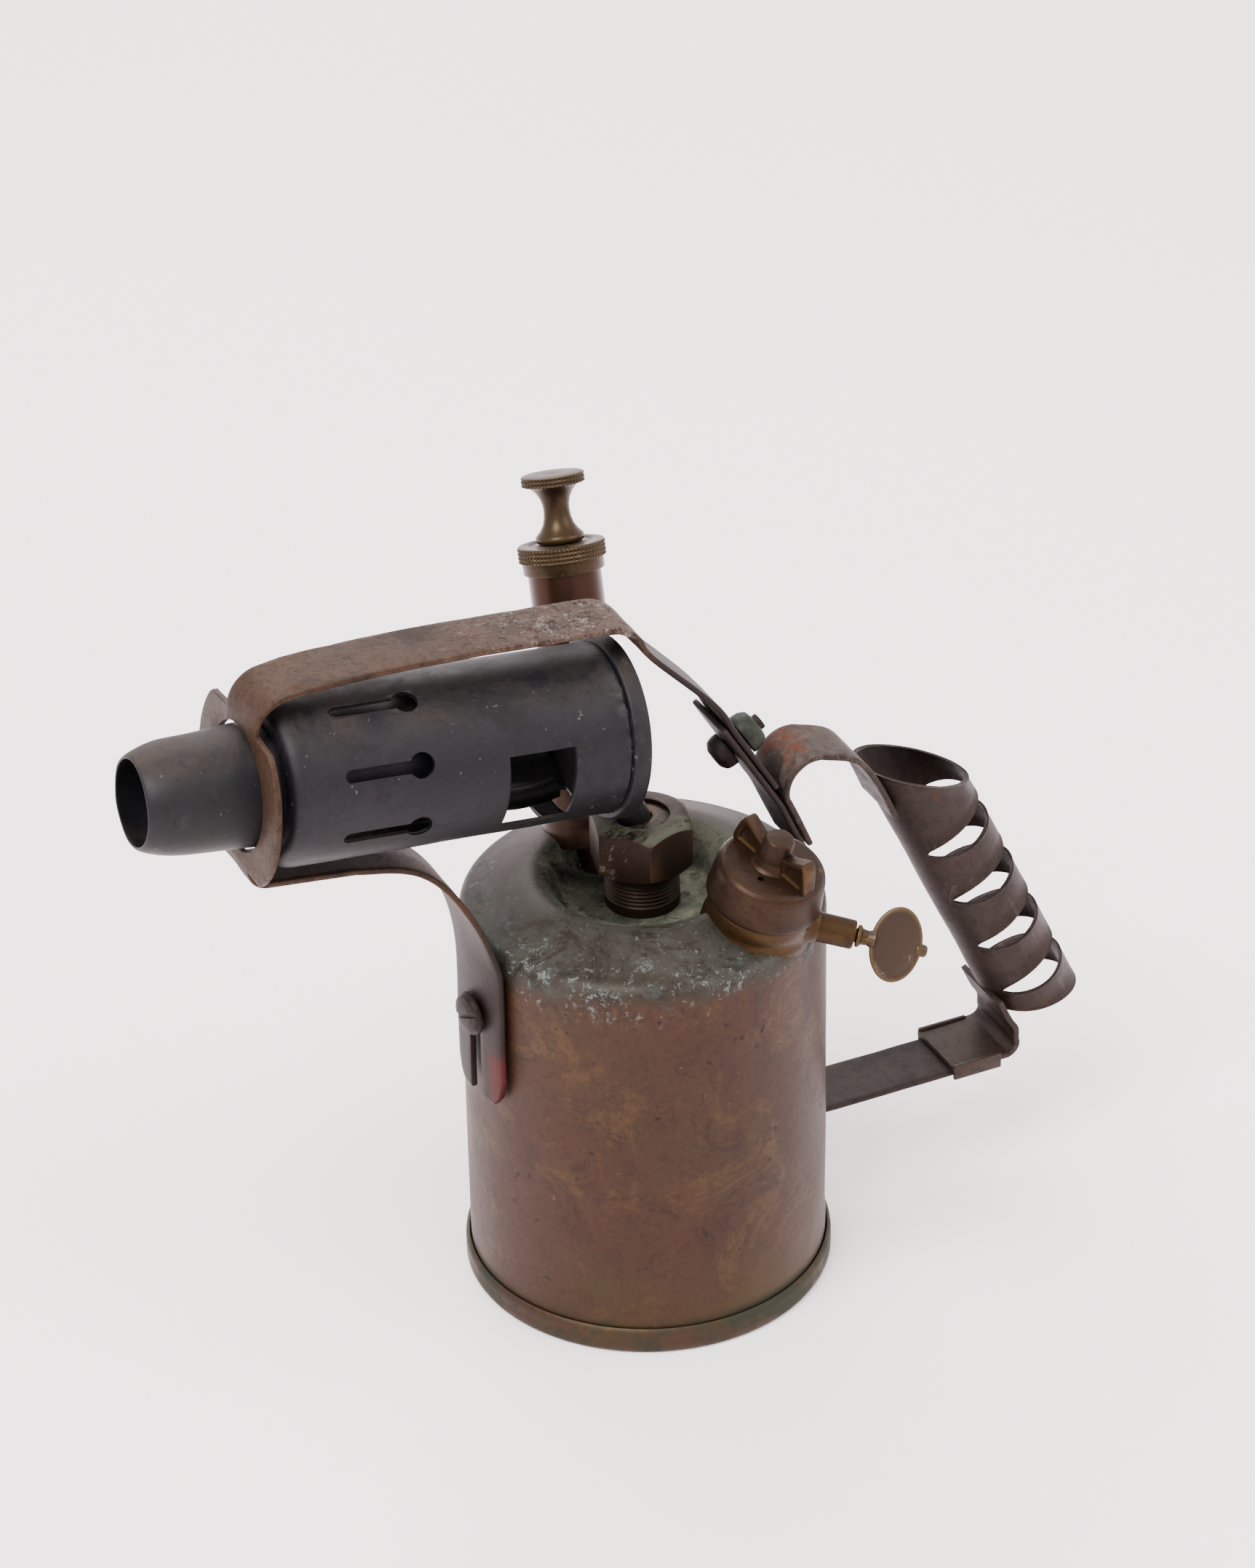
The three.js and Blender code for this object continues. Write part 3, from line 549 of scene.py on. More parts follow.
def burnt_look(name, top=(92, 86, 80), main=(34, 34, 38), dust=1.0):
    k = Look(name, 0.3, 0.5)
    k.layer(1, srgb(*main))
    k.layer(k.between(k.noise(1.0, 7, 0.7, 0.8), 0.44, 0.64), srgb(50, 50, 54), 0.44, 0.8)
    k.layer(k.between(k.noise(0.7, 7, 0.75, 0.8), 0.55, 0.7), srgb(44, 38, 34), 0.55, 0.7)
    k.layer(k.between(k.noise(3.4, 7, 0.75, 0.6), 0.52, 0.68), srgb(22, 22, 25), 0.6, 0.8)
    dusty = both(k, k.facing_up(0.55, 1.0), k.between(k.noise(2, 7, 0.8, 0.6), 0.38, 0.64))
    k.layer(dusty, srgb(*top), 0.8, 0.8 * dust)
    k.layer(k.between(k.noise(50, 6, 0.85), 0.5, 0.66), srgb(26, 26, 28), 0.6, 0.6)
    k.layer(k.between(k.noise(46, 3, 0.7), 0.68, 0.72), srgb(150, 146, 142), 0.8, 0.7)
    scuffs = both(k, k.between(k.noise(12, 7, 0.85, 0.6), 0.56, 0.66), k.facing_up(1.2, -0.4))
    k.layer(scuffs, srgb(88, 86, 86), 0.75, 0.5)
    k.bump(k.noise(30, 7, 0.8), 0.22, 0.25)
    return k.done()


def rust_look(name, main, second, dark, rust, metallic=0.45, rough=0.55):
    k = Look(name, metallic, rough)
    k.layer(1, srgb(*main))
    k.layer(k.between(k.noise(1.6, 6, 0.7, 0.8), 0.42, 0.62), srgb(*second), rough + 0.05)
    k.layer(k.between(k.noise(4.5, 6, 0.75, 0.5), 0.5, 0.66), srgb(*dark), rough + 0.1, 0.8)
    k.layer(k.between(k.noise(7, 6, 0.75, 0.8), 0.62, 0.7), srgb(*rust), 0.85, 0.7)
    # raised edges, found by pointiness, are lighter and smoother: partly edge wear, partly a painted
    # highlight
    k.layer(k.edges(0.52, 0.58), srgb(*[min(255, c + 34) for c in main]), rough - 0.1, 0.5)
    k.layer(k.between(k.noise(38, 6, 0.85, 0.3), 0.5, 0.6), srgb(*dark), rough + 0.12, 0.55)
    k.layer(k.between(k.noise(60, 5, 0.85, 0.3), 0.58, 0.66), srgb(*rust), 0.8, 0.5)
    k.bump(k.noise(34, 7, 0.85), 0.4, 0.25)
    return k


def release_look():
    k = Look("release brass", 0.65, 0.4)
    k.layer(1, srgb(100, 84, 59))
    k.layer(k.between(k.noise(1.8, 6, 0.7, 0.8), 0.44, 0.62), srgb(86, 71, 52), 0.46)
    head = k.between(k.axis(0), 0.0408, 0.0425)
    k.layer(head, srgb(98, 85, 77))
    k.layer(both(k, head, k.between(k.noise(3, 7, 0.8, 0.8), 0.48, 0.62)), srgb(80, 68, 61), 0.5, 0.8)
    k.layer(both(k, head, k.between(k.noise(11, 6, 0.85, 1.2), 0.6, 0.66)), srgb(168, 160, 150), 0.7, 0.7)
    # raised edges, found by pointiness, are lighter and golden: partly edge wear, partly a painted
    # highlight
    k.layer(k.edges(), srgb(150, 134, 104), 0.36, 0.7)
    k.bump(k.noise(14, 5, 0.75), 0.12, 0.12)
    return k.done()


def guard_look():
    k = rust_look("rusty strap", (80, 65, 53), (96, 76, 60), (56, 45, 38), (112, 82, 56))
    k.layer(k.between(k.noise(52, 6, 0.85, 0.2), 0.54, 0.62), srgb(46, 36, 31), 0.7, 0.7)
    x, z = k.axis(0), k.axis(2)
    # pale pitting on the hot rear end of the top run
    rear = both(k, k.between(x, -0.066, -0.022), k.between(z, 0.186, 0.192))
    k.layer(both(k, rear, k.between(k.noise(13, 7, 0.85, 0.3), 0.47, 0.56)), srgb(150, 134, 126), 0.85, 0.8)
    k.layer(both(k, rear, k.between(k.noise(30, 6, 0.85, 0.3), 0.55, 0.61)), srgb(212, 206, 202), 0.9, 0.85)
    k.layer(both(k, rear, k.between(k.noise(38, 6, 0.85, 0.4), 0.53, 0.6)), srgb(58, 42, 35), 0.8, 0.9)
    # the legs are dark
    low = k.between(k.math("ADD", z, k.math("MULTIPLY", k.noise(1.5, 4), 0.02)), 0.142, 0.124)
    k.layer(low, srgb(48, 41, 38), 0.5, 0.92)
    k.layer(both(k, low, k.between(k.noise(4, 6, 0.8, 0.6), 0.5, 0.64)), srgb(64, 56, 51), 0.5, 0.8)
    k.layer(both(k, low, k.between(k.noise(6, 6, 0.8, 0.4), 0.62, 0.7)), srgb(104, 66, 44), 0.8, 0.7)
    y = k.axis(1)
    tine = both(k, k.between(y, -0.0095, -0.0125), k.between(z, 0.088, 0.082))
    k.layer(both(k, tine, k.between(k.noise(4, 6, 0.8), 0.44, 0.54)), srgb(92, 36, 36), 0.5, 0.9)
    leg = both(k, k.between(x, -0.004, 0.004), k.between(z, 0.192, 0.184))
    k.layer(leg, srgb(48, 41, 38), 0.55, 0.9)
    return k.done()


def nut_look():
    k = Look("crusted nut", 0.5, 0.52)
    k.layer(1, srgb(60, 46, 38))
    k.layer(k.between(k.noise(2, 6, 0.7, 0.8), 0.45, 0.62), srgb(80, 61, 48), 0.45)
    k.layer(k.between(k.noise(5, 6, 0.75), 0.52, 0.66), srgb(34, 29, 27), 0.7, 0.85)
    # raised edges and corners, found by pointiness, are lighter: partly edge wear, partly a painted
    # highlight
    k.layer(k.edges(0.52, 0.58), srgb(122, 102, 80), 0.45, 0.6)
    top = k.facing_up(0.55, 0.95)
    k.layer(both(k, top, k.between(k.noise(4, 7, 0.85, 0.6), 0.46, 0.56)), srgb(168, 174, 158), 0.9, 0.85)
    crust = both(k, k.between(k.noise(6, 7, 0.85, 0.6), 0.58, 0.64), k.between(k.noise(1.5, 4), 0.4, 0.6))
    k.layer(crust, srgb(196, 196, 182), 0.9, 0.85)
    k.bump(k.noise(10, 7, 0.8), 0.4, 0.35)
    return k.done()


def handle_look():
    k = rust_look("handle steel", (66, 56, 51), (78, 65, 58), (46, 39, 36), (118, 80, 52), 0.45, 0.5)
    k.layer(k.between(k.noise(9, 7, 0.85, 0.8, (1, 1, 0.4)), 0.6, 0.67), srgb(150, 142, 134), 0.8, 0.5)
    x, z = k.axis(0), k.axis(2)
    arm = both(k, k.between(x, 0.07, 0.056), k.between(z, 0.115, 0.12))
    k.layer(both(k, arm, k.between(k.noise(12, 7, 0.85, 0.6), 0.48, 0.57)), srgb(140, 130, 121), 0.85, 0.8)
    k.layer(both(k, arm, k.between(k.noise(3, 6, 0.85), 0.53, 0.62)), srgb(124, 76, 52), 0.8, 0.75)
    left = k.between(x, 0.104, 0.08)
    k.layer(both(k, left, k.between(k.noise(4, 7, 0.85, 0.8), 0.5, 0.6)), srgb(98, 90, 84), 0.75, 0.55)
    return k.done()


def floor_look():
    k = Look("pale paper", 0.0, 0.85)
    k.layer(1, srgb(249, 240, 241, 1))
    k.layer(k.between(k.noise(0.08, 3, 0.5), 0.35, 0.7), srgb(246, 237, 238, 1))
    k.bump(k.noise(6, 3, 0.6), 0.05, 0.4)
    return k.done()


TANK = tank_look()
CAP = brass_look("filler brass", (80, 64, 51), (68, 54, 44), (142, 118, 86), (44, 35, 31), 0.4, 0.65, 1.4)
NECK = brass_look("neck brass", (98, 80, 57), (82, 66, 50), (142, 120, 84), (52, 42, 35), 0.4, 0.7)
RELEASE = release_look()
KNOB = brass_look("knob brass", (92, 79, 62), (78, 67, 54), (140, 124, 94), (50, 44, 38), 0.36, 0.7)
BARREL = brass_look("barrel brass", (66, 45, 43), (56, 38, 38), (104, 84, 66), (42, 31, 31), 0.3, 0.7)
BOSS = brass_look("boss brass", (66, 55, 42), (52, 46, 38), (110, 94, 68), (30, 27, 25), 0.48, 0.6)
JET = brass_look("jet brass", (98, 78, 50), (78, 62, 42), (140, 116, 76), (42, 34, 28), 0.4)
GREEN = brass_look("corroded brass", (66, 70, 62), (82, 88, 79), (112, 110, 94), (40, 42, 38), 0.5, 0.5,
                   2.5)
BURNT = burnt_look("burnt steel")
NOZZLE = burnt_look("nozzle steel", (100, 90, 82), (40, 40, 42))
DARK = burnt_look("dark steel", (58, 52, 47), (30, 28, 28), 0.5)
GUARD = guard_look()
NUT = nut_look()
HANDLE = handle_look()
BACK = rust_look("back strap steel", (54, 45, 41), (68, 58, 52), (38, 33, 32), (104, 78, 62)).done()
SCREW = rust_look("screw steel", (46, 39, 37), (60, 52, 46), (30, 27, 26), (92, 64, 46), 0.55, 0.5).done()
BRIGHT = rust_look("rod steel", (120, 116, 112), (104, 100, 95), (84, 78, 74), (100, 78, 58), 0.9,
                   0.3).done()
RUBBER = rust_look("old rubber", (34, 32, 31), (46, 43, 41), (24, 23, 22), (60, 54, 48), 0.0, 0.85).done()
LEATHER = rust_look("pump leather", (78, 54, 38), (92, 66, 46), (54, 38, 28), (104, 78, 56),
                    0.0, 0.7).done()


def piece(obj, material, slot_name, *nodes, body="tank"):
    """Gives a made object its material and its place in the model."""
    obj.name = obj.name.replace(" ", "-")
    obj.data.materials.clear()
    obj.data.materials.append(material)
    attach(obj, body)
    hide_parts(*nodes)
    return obj


# ---- tank ----
def make_tank():
    wall = [(0, 5), (TANK_R - 0.3, 5), (TANK_R - 0.1, 7), (TANK_R - 0.1, 9)]
    wall += [(TANK_R - 0.02, z) for z in range(12, 108, 8)]
    top = [(TANK_R, 107.6), (47.3, 109.7), (46.6, 111.3), (45.2, 112.7), (42.4, 113.9), (38, 115.9),
           (33, 118.1), (30.6, 118.9), (28.8, 119.15), (27, 118.9), (25.4, 118), (23.6, 116), (22, 113.4),
           (20.6, 111), (19, 110), (14, 109.9), (0, 109.9)]
    profile = wall[:4] + smooth(wall[4:] + top[:1], 2) + smooth(top, 4)
    tank = lathe("tank", profile, segs=160, angle=50)
    dented(tank, 0.35, 0.035, lambda v: v.z > 12)
    piece(tank, TANK, "tank_brass", "tank_shell")
    rim = [(0, 0), (29.5, 0), (31.5, 1.2), (38, 1.2), (39.5, 0), (47.4, 0), (48.3, 0.35), (48.85, 1.3),
           (48.9, 3), (48.75, 4.6), (48.9, 5.4), (48.75, 6.4), (48.3, 7.1), (47.9, 7.4), (47.7, 7.3),
           (47.55, 6.8), (47.5, 2.3), (0, 2.3)]
    piece(lathe("tank_base", rim, segs=160, angle=60), TANK, "tank_brass", "base_plate")


def make_boss():
    thread = []
    z = 113.2
    while z < 121:
        thread += [(BOSS_R - 0.75, z), (BOSS_R - 0.05, z + 0.42), (BOSS_R - 0.05, z + 0.6)]
        z += 1.15
    profile = [(5.4, 104), (12.8, 104), (12.8, 108.4), (BOSS_R, 108.6), (BOSS_R, 112.6)] + thread
    profile += [(BOSS_R - 0.9, 122), (BOSS_R - 0.9, 126), (5.4, 126), (5.4, 104)]
    piece(lathe("boss", profile, segs=96, angle=28), BOSS, "turned_brass", "burner_boss")
    z = NUT_Z1
    crust = [(3, z - 0.6), (4.6, z - 0.2), (6.6, z - 0.9), (8.3, z - 1.2), (8.3, z - 3), (3, z - 3),
             (3, z - 0.6)]
    crust = lathe("nut crust", crust, segs=64)
    nut = prism("union nut", circle(NUT_AF / math.sqrt(3), 6, math.radians(15)), NUT_Z0, NUT_Z1)
    r = NUT_AF / math.sqrt(3)
    turned = [(0, NUT_Z0 - 1), (NUT_AF / 2 - 0.6, NUT_Z0 - 0.01), (r - 0.1, NUT_Z0 + 1.6), (r, NUT_Z0 + 2),
              (r, NUT_Z1 - 2.4), (r - 0.2, NUT_Z1 - 1.9), (NUT_AF / 2 - 0.8, NUT_Z1 - 0.2), (0, NUT_Z1 + 1)]
    turned = lathe("turning", turned, segs=96)
    b = BOSS_R + 0.3
    bore = lathe("bore", [(0, 110), (b, 110), (b, 129.6), (7.4, 129.6), (7.4, 140), (0, 140)], segs=48)
    boolean(nut, "INTERSECT", turned)
    boolean(nut, "DIFFERENCE", bore, bevel=0.35)
    piece(joined("union nut", nut, crust), NUT, "dark_brass", "union_nut")
    foot = [(2.6, 126.3), (8.6, 126.3), (8.6, 129), (4.8, 129.4), (4.8, 134), (2.6, 134)]
    foot = lathe("foot", rounded(foot), segs=48)
    run = lathe("run", [(0, -3), (RISER_R, -3), (RISER_R, 16.5), (0, 16.5)], riser, 48)
    piece(joined("riser", foot, run), DARK, "black_steel", "riser_tube")


# ---- burner ----
def turned_by(degrees):
    return burner @ Matrix.Rotation(math.radians(degrees), 4, "Z")


def keyhole(degrees):
    """A slot with a round rear end, cut through the casing's wall."""
    outline = arc((61.2, 0), 3.3, 31, 329, 24) + arc((79.6, 0), 1.7, -90, 90, 10)
    m = turned_by(degrees) @ Matrix(((0, 0, 1, 0), (0, 1, 0, 0), (1, 0, 0, 0), (0, 0, 0, 1)))
    return prism("keyhole", outline, CASING_R - 5, CASING_R + 5, m)


def make_burner():
    r, n = CASING_R, CASING_LEN
    outer = [(r, CASING_FROM)] + [(r + 0.05 * math.sin(s), s) for s in range(10, 90, 8)]
    front = [(r, n - 4.6), (r - 0.35, n - 2.6), (r - 1.3, n - 1), (r - 3, n - 0.1),
             (FLAME_R + 0.7, n - 0.02)]
    inner = [(FLAME_R + 0.7, n - 1), (r - 3.4, n - 1.1), (r - 2, n - 2), (r - 1.1, n - 4), (r - 1, n - 6),
             (r - 1, CASING_FROM), (r, CASING_FROM)]
    casing = lathe("casing", outer + smooth(front, 4) + inner, burner, 144, 40)
    cutters = [keyhole(-20 + 45 * i) for i in range(8)]
    for a, w in ((-98, 21.2), (180, 11), (98, 21.2)):
        cutters.append(block("window", 14, w, 18, r - 4, 0, 29, turned_by(a)))
    cutters.append(block("notch", 14, 13.6, 12, -r, 0, CASING_FROM + 3, burner))
    boolean(casing, "DIFFERENCE", *cutters, angle=40, bevel=0.14)
    dented(casing, 0.35, 0.045)
    piece(casing, BURNT, "black_steel", "burner_casing")

    ring = lathe("ring", rounded([(18.2, 0), (RING_R, 0), (RING_R, RING_T), (r - 1.3, RING_T),
                                  (r - 1.3, RING_T + 4), (19.2, RING_T + 4), (18.2, 0)], 0.8), burner, 120)
    bar = block("bar", 38, 7, 3.4, 0, 0, 2.4, burner, 0.5)
    socket = lathe("socket", rounded([(0, 9), (6.4, 9), (6.4, 19.5), (0, 19.5)], 0.8), riser, 48)
    piece(joined("rear ring", ring, bar, socket), BURNT, "black_steel", "rear_ring")
    pts = [(-15.4, 0, 14.5), (-16.6, 0, 20), (-16.8, 0, 28), (-14, 0, 42), (0, 0, 49), (13.5, 0, 43),
           (15.5, 0, 30), (12, 0, 18), (5.4, 0, 12.8)]
    piece(swept("vaporiser", pts, 2.7, burner), DARK, "black_steel", "vaporiser_pipe")
    jet = [(0, -1.4), (1.9, -1.4), (2.9, -0.6), (2.9, 4.4), (5, 4.4), (5, 10), (0, 10)]
    jet = lathe("jet", rounded(jet, 0.3), burner, 48)
    piece(jet, JET, "turned_brass", "jet_holder")

    f = FLAME_R
    out = [(f - 0.2, FLAME_FROM), (f - 0.1, 74), (f, 92), (f - 0.35, 101), (f - 0.9, 111), (f - 1.3, 118),
           (f - 1.9, 122.5), (f - 2.9, 126), (f - 3.8, 128), (f - 4.5, 128.7), (f - 5, 128.5)]
    back = [(f - 4.9, 127.8), (f - 4.2, 126), (f - 3.2, 122.4), (f - 2.5, 117), (f - 2.1, 110),
            (f - 1.3, 92), (f - 1.2, FLAME_FROM)]
    nozzle = lathe("nozzle", smooth(out, 4) + smooth(back, 3) + [out[0]], burner, 120, 50)
    dented(nozzle, 0.45, 0.06, lambda v: v.x < -100)
    piece(nozzle, NOZZLE, "black_steel", "flame_tube")


# ---- guard strap ----
def make_guard():
    drop = [(fork_x, 68.3), (fork_x, 78), (fork_x, 94), (fork_x, 107), (-50.6, 117), (-53, 125.5),
            (-57.4, 133.4), (-63.2, 139.6), (-70.5, 143.4), (-82, 146.3)]
    tilt = math.degrees(TILT)
    plate_bottom = arc(on_burner(PLATE_AT - 5, PLATE_DOWN + 5), 5, 270 - tilt, 180 - tilt, 8)
    plate_top = arc(on_burner(PLATE_AT - 9, PLATE_UP - 12.2), 9, 180 - tilt, 106 - tilt, 10)
    top = [on_burner(88, PLATE_UP - 2.2), on_burner(75, PLATE_UP - 0.8), on_burner(50, PLATE_UP + 0.6),
           on_burner(25, PLATE_UP + 1), on_burner(7.5, PLATE_UP + 1.2), on_burner(2.5, PLATE_UP + 0.2),
           on_burner(-1.5, PLATE_UP - 2.6), on_burner(-5.5, PLATE_UP - 8.2), along_back(-20, 1.1),
           along_back(-8, 1.1),
           along_back(14, 1.1)]
    path = smooth(drop, 6) + plate_bottom + plate_top + smooth(top, 6)

    def lean(q):
        """The fork stands a little to one side of the burner."""
        return FORK_Y * min(max((141 - q.y) / 32, 0), 1) if q.x < -40 else 0

    def width(q):
        if q.x > -45 or q.y > 141:
            return STRAP_W
        t = min(max((141 - q.y) / 30, 0), 1)
        return STRAP_W + (FORK_W - STRAP_W) * t * t * (3 - 2 * t)

    def bend(q, y):
        """The fork's foot follows the tank's wall."""
        share = min(max((128 - q.y) / 18, 0), 1) if q.x < -40 else 0
        return share * (abs(fork_x) - math.sqrt(fork_x**2 - y * y))

    strap = ribbon("guard strap", path, width, shift=lean, bend=bend, wave=0.2)
    # the front plate is a disc with its top and bottom cut off
    rim = [(x, y) for x, y in circle(PLATE_R, 144) if -19.6 < x < 17.2]
    low = [(x, y) for x, y in rim if y < 0]
    high = [(x, y) for x, y in rim if y >= 0]
    edge = [(17.6, -18), (18.2, -11), (18.2, 11), (17.6, 18)]
    outline = sorted(low) + edge + sorted(high, reverse=True)
    disc = prism("plate", outline, PLATE_AT - 0.8, PLATE_AT + 0.8, burner, bevel=0.3)
    boolean(strap, "UNION", disc)
    hole = prism("hole", circle(FLAME_R + 0.7, 96), PLATE_AT - 5, PLATE_AT + 5, burner)
    slot = [(-2.7, 50), (2.7, 50)] + arc((0, 93.8), 2.7, 0, 180)
    face = Matrix(((0, 0, 1, fork_x), (1, 0, 0, FORK_Y), (0, 1, 0, 0), (0, 0, 0, 1)))
    slot = prism("fork slot", slot, -5, 5, face)
    corners = [prism("corner", [(s * 12, 80), (s * 12, 66), (s * 5.4, 66), (s * 9.4, 71)], -5, 5,
                     face) for s in (1, -1)]
    bolt = prism("bolt hole", circle(2.6, 24), -12, 12, bolt_frame)
    boolean(strap, "DIFFERENCE", hole, slot, *corners, bolt, angle=40, bevel=0.12)
    piece(strap, GUARD, "rusty_steel", "guard_strap")

    lug = prism("lug", circle(TANK_R + 1.15, 240), FORK_Z - 9, FORK_Z + 9)
    boolean(lug, "INTERSECT", block("side", 20, 14, 18, -TANK_R, FORK_Y, FORK_Z))
    wall = prism("wall", circle(TANK_R + 0.25, 240), 60, 110)
    hole = prism("screw hole", circle(2.6, 24), -6, 8, screw_frame)
    boolean(lug, "DIFFERENCE", wall, hole, bevel=0.3)
    piece(lug, BOSS, "turned_brass", "guard_lug")
    profile = [(0, 0.9), (2.3, 0.9), (2.3, 3.5), (5.8, 3.5), (5.8, 4.4), (5, 5.6), (3, 6.15), (0, 6.3)]
    screw = lathe("guard screw", rounded(profile, 0.3), screw_frame, 64)
    groove_turn = Matrix.Rotation(math.radians(28), 4, "Z")
    groove = block("groove", 14, 1.3, 2.6, 0, 0, 6.4, screw_frame @ groove_turn)
    boolean(screw, "DIFFERENCE", groove, bevel=0.12)
    piece(screw, SCREW, "rusty_steel", "guard_screw")


# ---- back strap, handle and bolt ----
def make_handle():
    back_x = TANK_R + STRAP_T / 2 + 0.7
    legs = [along_back(-12, -0.8), along_back(2, -0.8), along_back(15, -0.8), along_back(20, -0.8),
            (39.8, 123.6), (43.3, 115.8)]
    down = [(41.5, 119.8), (43.3, 115.8), (46.7, 113.7), (48.5, 111.5), (back_x, 108.5), (back_x, 80),
            (back_x, LOWER_Z + 0.3)]
    lower = [(back_x - 0.8 + 0.05, LOWER_Z)] + [(x, LOWER_Z) for x in range(52, 102, 7)]
    legs = ribbon("legs", smooth(legs, 5), STRAP_W, wave=0.15)
    down = ribbon("down", smooth(down, 5), 12)
    lower = ribbon("lower", lower, STRAP_W, wave=0.15)
    strap = joined("back strap", legs, down, lower)
    boolean(strap, "DIFFERENCE", prism("bolt hole", circle(2.6, 24), -12, 12, bolt_frame), angle=40)
    piece(strap, BACK, "rusty_steel", "back_strap")

    tube = tube_with_slots()
    arm = [(44.4, 118.2), (41.4, 125.1), (38.3, 132)] + arc((46, 135.2), 8.6, 188, 70, 7)
    arm += [(58, 139.6), on_grip(-9, -11.4), on_grip(4, -11.6)]
    arm = ribbon("arm", smooth(arm, 5), STRAP_W, wave=0.3)
    t = LOWER_Z + STRAP_T / 2 + 0.3
    tail = [on_grip(GRIP_LEN - 10, -11.6), on_grip(GRIP_LEN - 3, -11.6), on_grip(GRIP_LEN + 1, -11.2)]
    tail += arc((103, t + 4.2), 3.4, 20, -90, 6) + [(95, t + 0.8), (87, t + 0.8)]
    tail = ribbon("tail", smooth(tail, 5), STRAP_W + 3, wave=0.2)
    sides = [block("clip", 14.5, 1.2, 4.6, 94.4, y, LOWER_Z + 1, bevel=0.4) for y in (10, -10)]
    piece(joined("handle", tube, arm, tail, *sides), HANDLE, "rusty_steel", "handle_grip")

    profile = [(0, -6.6), (2.6, -6.6), (4.4, -5.4), (4.8, -3.6), (4.8, -2), (2.2, -2), (2.2, 9), (0, 9)]
    bolt = lathe("clamp bolt", rounded(profile, 0.5), bolt_frame, 64)
    boolean(bolt, "DIFFERENCE", block("groove", 12, 1.3, 2.4, 0, 0, -6.2, bolt_frame), bevel=0.12)
    piece(bolt, SCREW, "rusty_steel", "clamp_bolt")
    profile = [(2.6, 2.5), (5.5, 2.5), (5.5, 4), (5.2, 5.6), (4.2, 7.2), (2.6, 7.6), (2.6, 2.5)]
    nut = lathe("clamp nut", rounded(profile, 0.4), bolt_frame, 64)
    piece(nut, GREEN, "turned_brass", "clamp_nut")


def tube_with_slots():
    outward = (grip.inverted().to_3x3() @ Vector((1, 0, 0))).y
    side = 1 if outward > 0 else -1
    wall = lathe("grip", [(GRIP_R - 1, -14), (GRIP_R, -14)] + [(GRIP_R, z) for z in range(-10, 102, 6)]
                 + [(GRIP_R, 102), (GRIP_R - 1, 102), (GRIP_R - 1, -14)], grip, 96, 40)
    cutters = []
    for down, slope, sign in ((0, 0.98, -1), (GRIP_LEN, 0.35, 1)):
        m = grip @ Matrix.Translation((0, 0, down)) @ Matrix.Rotation(side * math.atan(slope), 4, "X")
        cutters.append(block("end", 60, 60, 60, 0, 0, sign * 30, m))
    for z in (21.5, 40, 58.5, 77):
        outline = [(8 * side + 17 * x, 3.9 * y) for x, y in circle(1)]
        m = grip @ Matrix.Translation((0, 0, z)) @ Matrix(((0, 0, 1, 0), (1, 0, 0, 0), (0, 1, 0, 0),
                                                           (0, 0, 0, 1)))
        cutters.append(prism("slot", outline, -20, 20, m))
    boolean(wall, "DIFFERENCE", *cutters, angle=40, bevel=0.2)
    return dented(wall, 0.4, 0.06)


# ---- pump ----
def make_pump():
    b = BARREL_OUT
    collar = [(BARREL_R + 0.3, -4), (14.4, -4), (14.4, 0.6), (14.1, 2), (13.3, 3.4), (13.05, 5), (13, 11),
              (12.6, 12.2), (11.6, 12.6), (BARREL_R + 0.3, 12.6), (BARREL_R + 0.3, -4)]
    piece(lathe("pump collar", rounded(collar, 0.5), pump, 120, 30), CAP, "dark_brass", "pump_collar")
    wall = [(BARREL_R - 0.8, -BARREL_IN), (BARREL_R, -BARREL_IN), (BARREL_R, 20), (BARREL_R, b),
            (BARREL_R - 0.8, b), (BARREL_R - 0.8, -BARREL_IN)]
    piece(lathe("pump barrel", wall, pump, 96), BARREL, "tube_brass", "pump_barrel")
    cap = [(2.6, b + 3.2), (2.6, b + 0.3), (BARREL_R + 0.3, b + 0.3), (BARREL_R + 0.3, b - 4.2),
           (10.4, b - 4.2), (10.55, b - 3.9), (10.55, b - 1.1), (11.3, b - 0.9)]
    cap += [(11.5, b - 0.7 + 0.2 * i) for i in range(18)]
    cap += [(11.2, b + 3.1), (10.6, b + 3.2), (8.4, b + 3.2), (8.1, b + 2.9), (6.8, b + 2.9),
            (6.6, b + 3.2), (2.6, b + 3.2)]
    cap = lathe("pump cap", cap, pump, 480, 60, (b - 0.8, b + 2.75, 33, 0.5, 2.9))
    piece(cap, KNOB, "dark_brass", "pump_cap")
    k = b + 3.5
    knob = [(0, k), (5.9, k), (6.25, k + 0.3), (6.3, k + 1.5), (5.9, k + 2), (4.9, k + 3.1),
            (4.05, k + 4.6), (3.55, k + 6.4), (3.4, k + 8.3), (3.5, k + 9.8), (3.95, k + 11.4),
            (4.8, k + 13), (5.9, k + 14.2), (6.9, k + 14.9), (8.0, k + 15.05)]
    knob += [(8.3, k + 15.2 + 0.15 * i) for i in range(15)]
    knob += [(8.1, k + 17.5), (7.6, k + 17.7), (3, k + 17.65), (1.4, k + 17.5), (0, k + 17.4)]
    knob = lathe("pump knob", knob, pump, 360, 60, (k + 15.15, k + 17.35, 24, 0.45, 2.9))
    piece(knob, KNOB, "dark_brass", "pump_knob", body="plunger")
    rod = lathe("pump rod", rounded([(0, -24), (2.2, -24), (2.2, k - 0.3), (0, k - 0.3)], 0.3), pump, 32)
    piece(rod, BRIGHT, "spring_steel", "pump_rod", body="plunger")


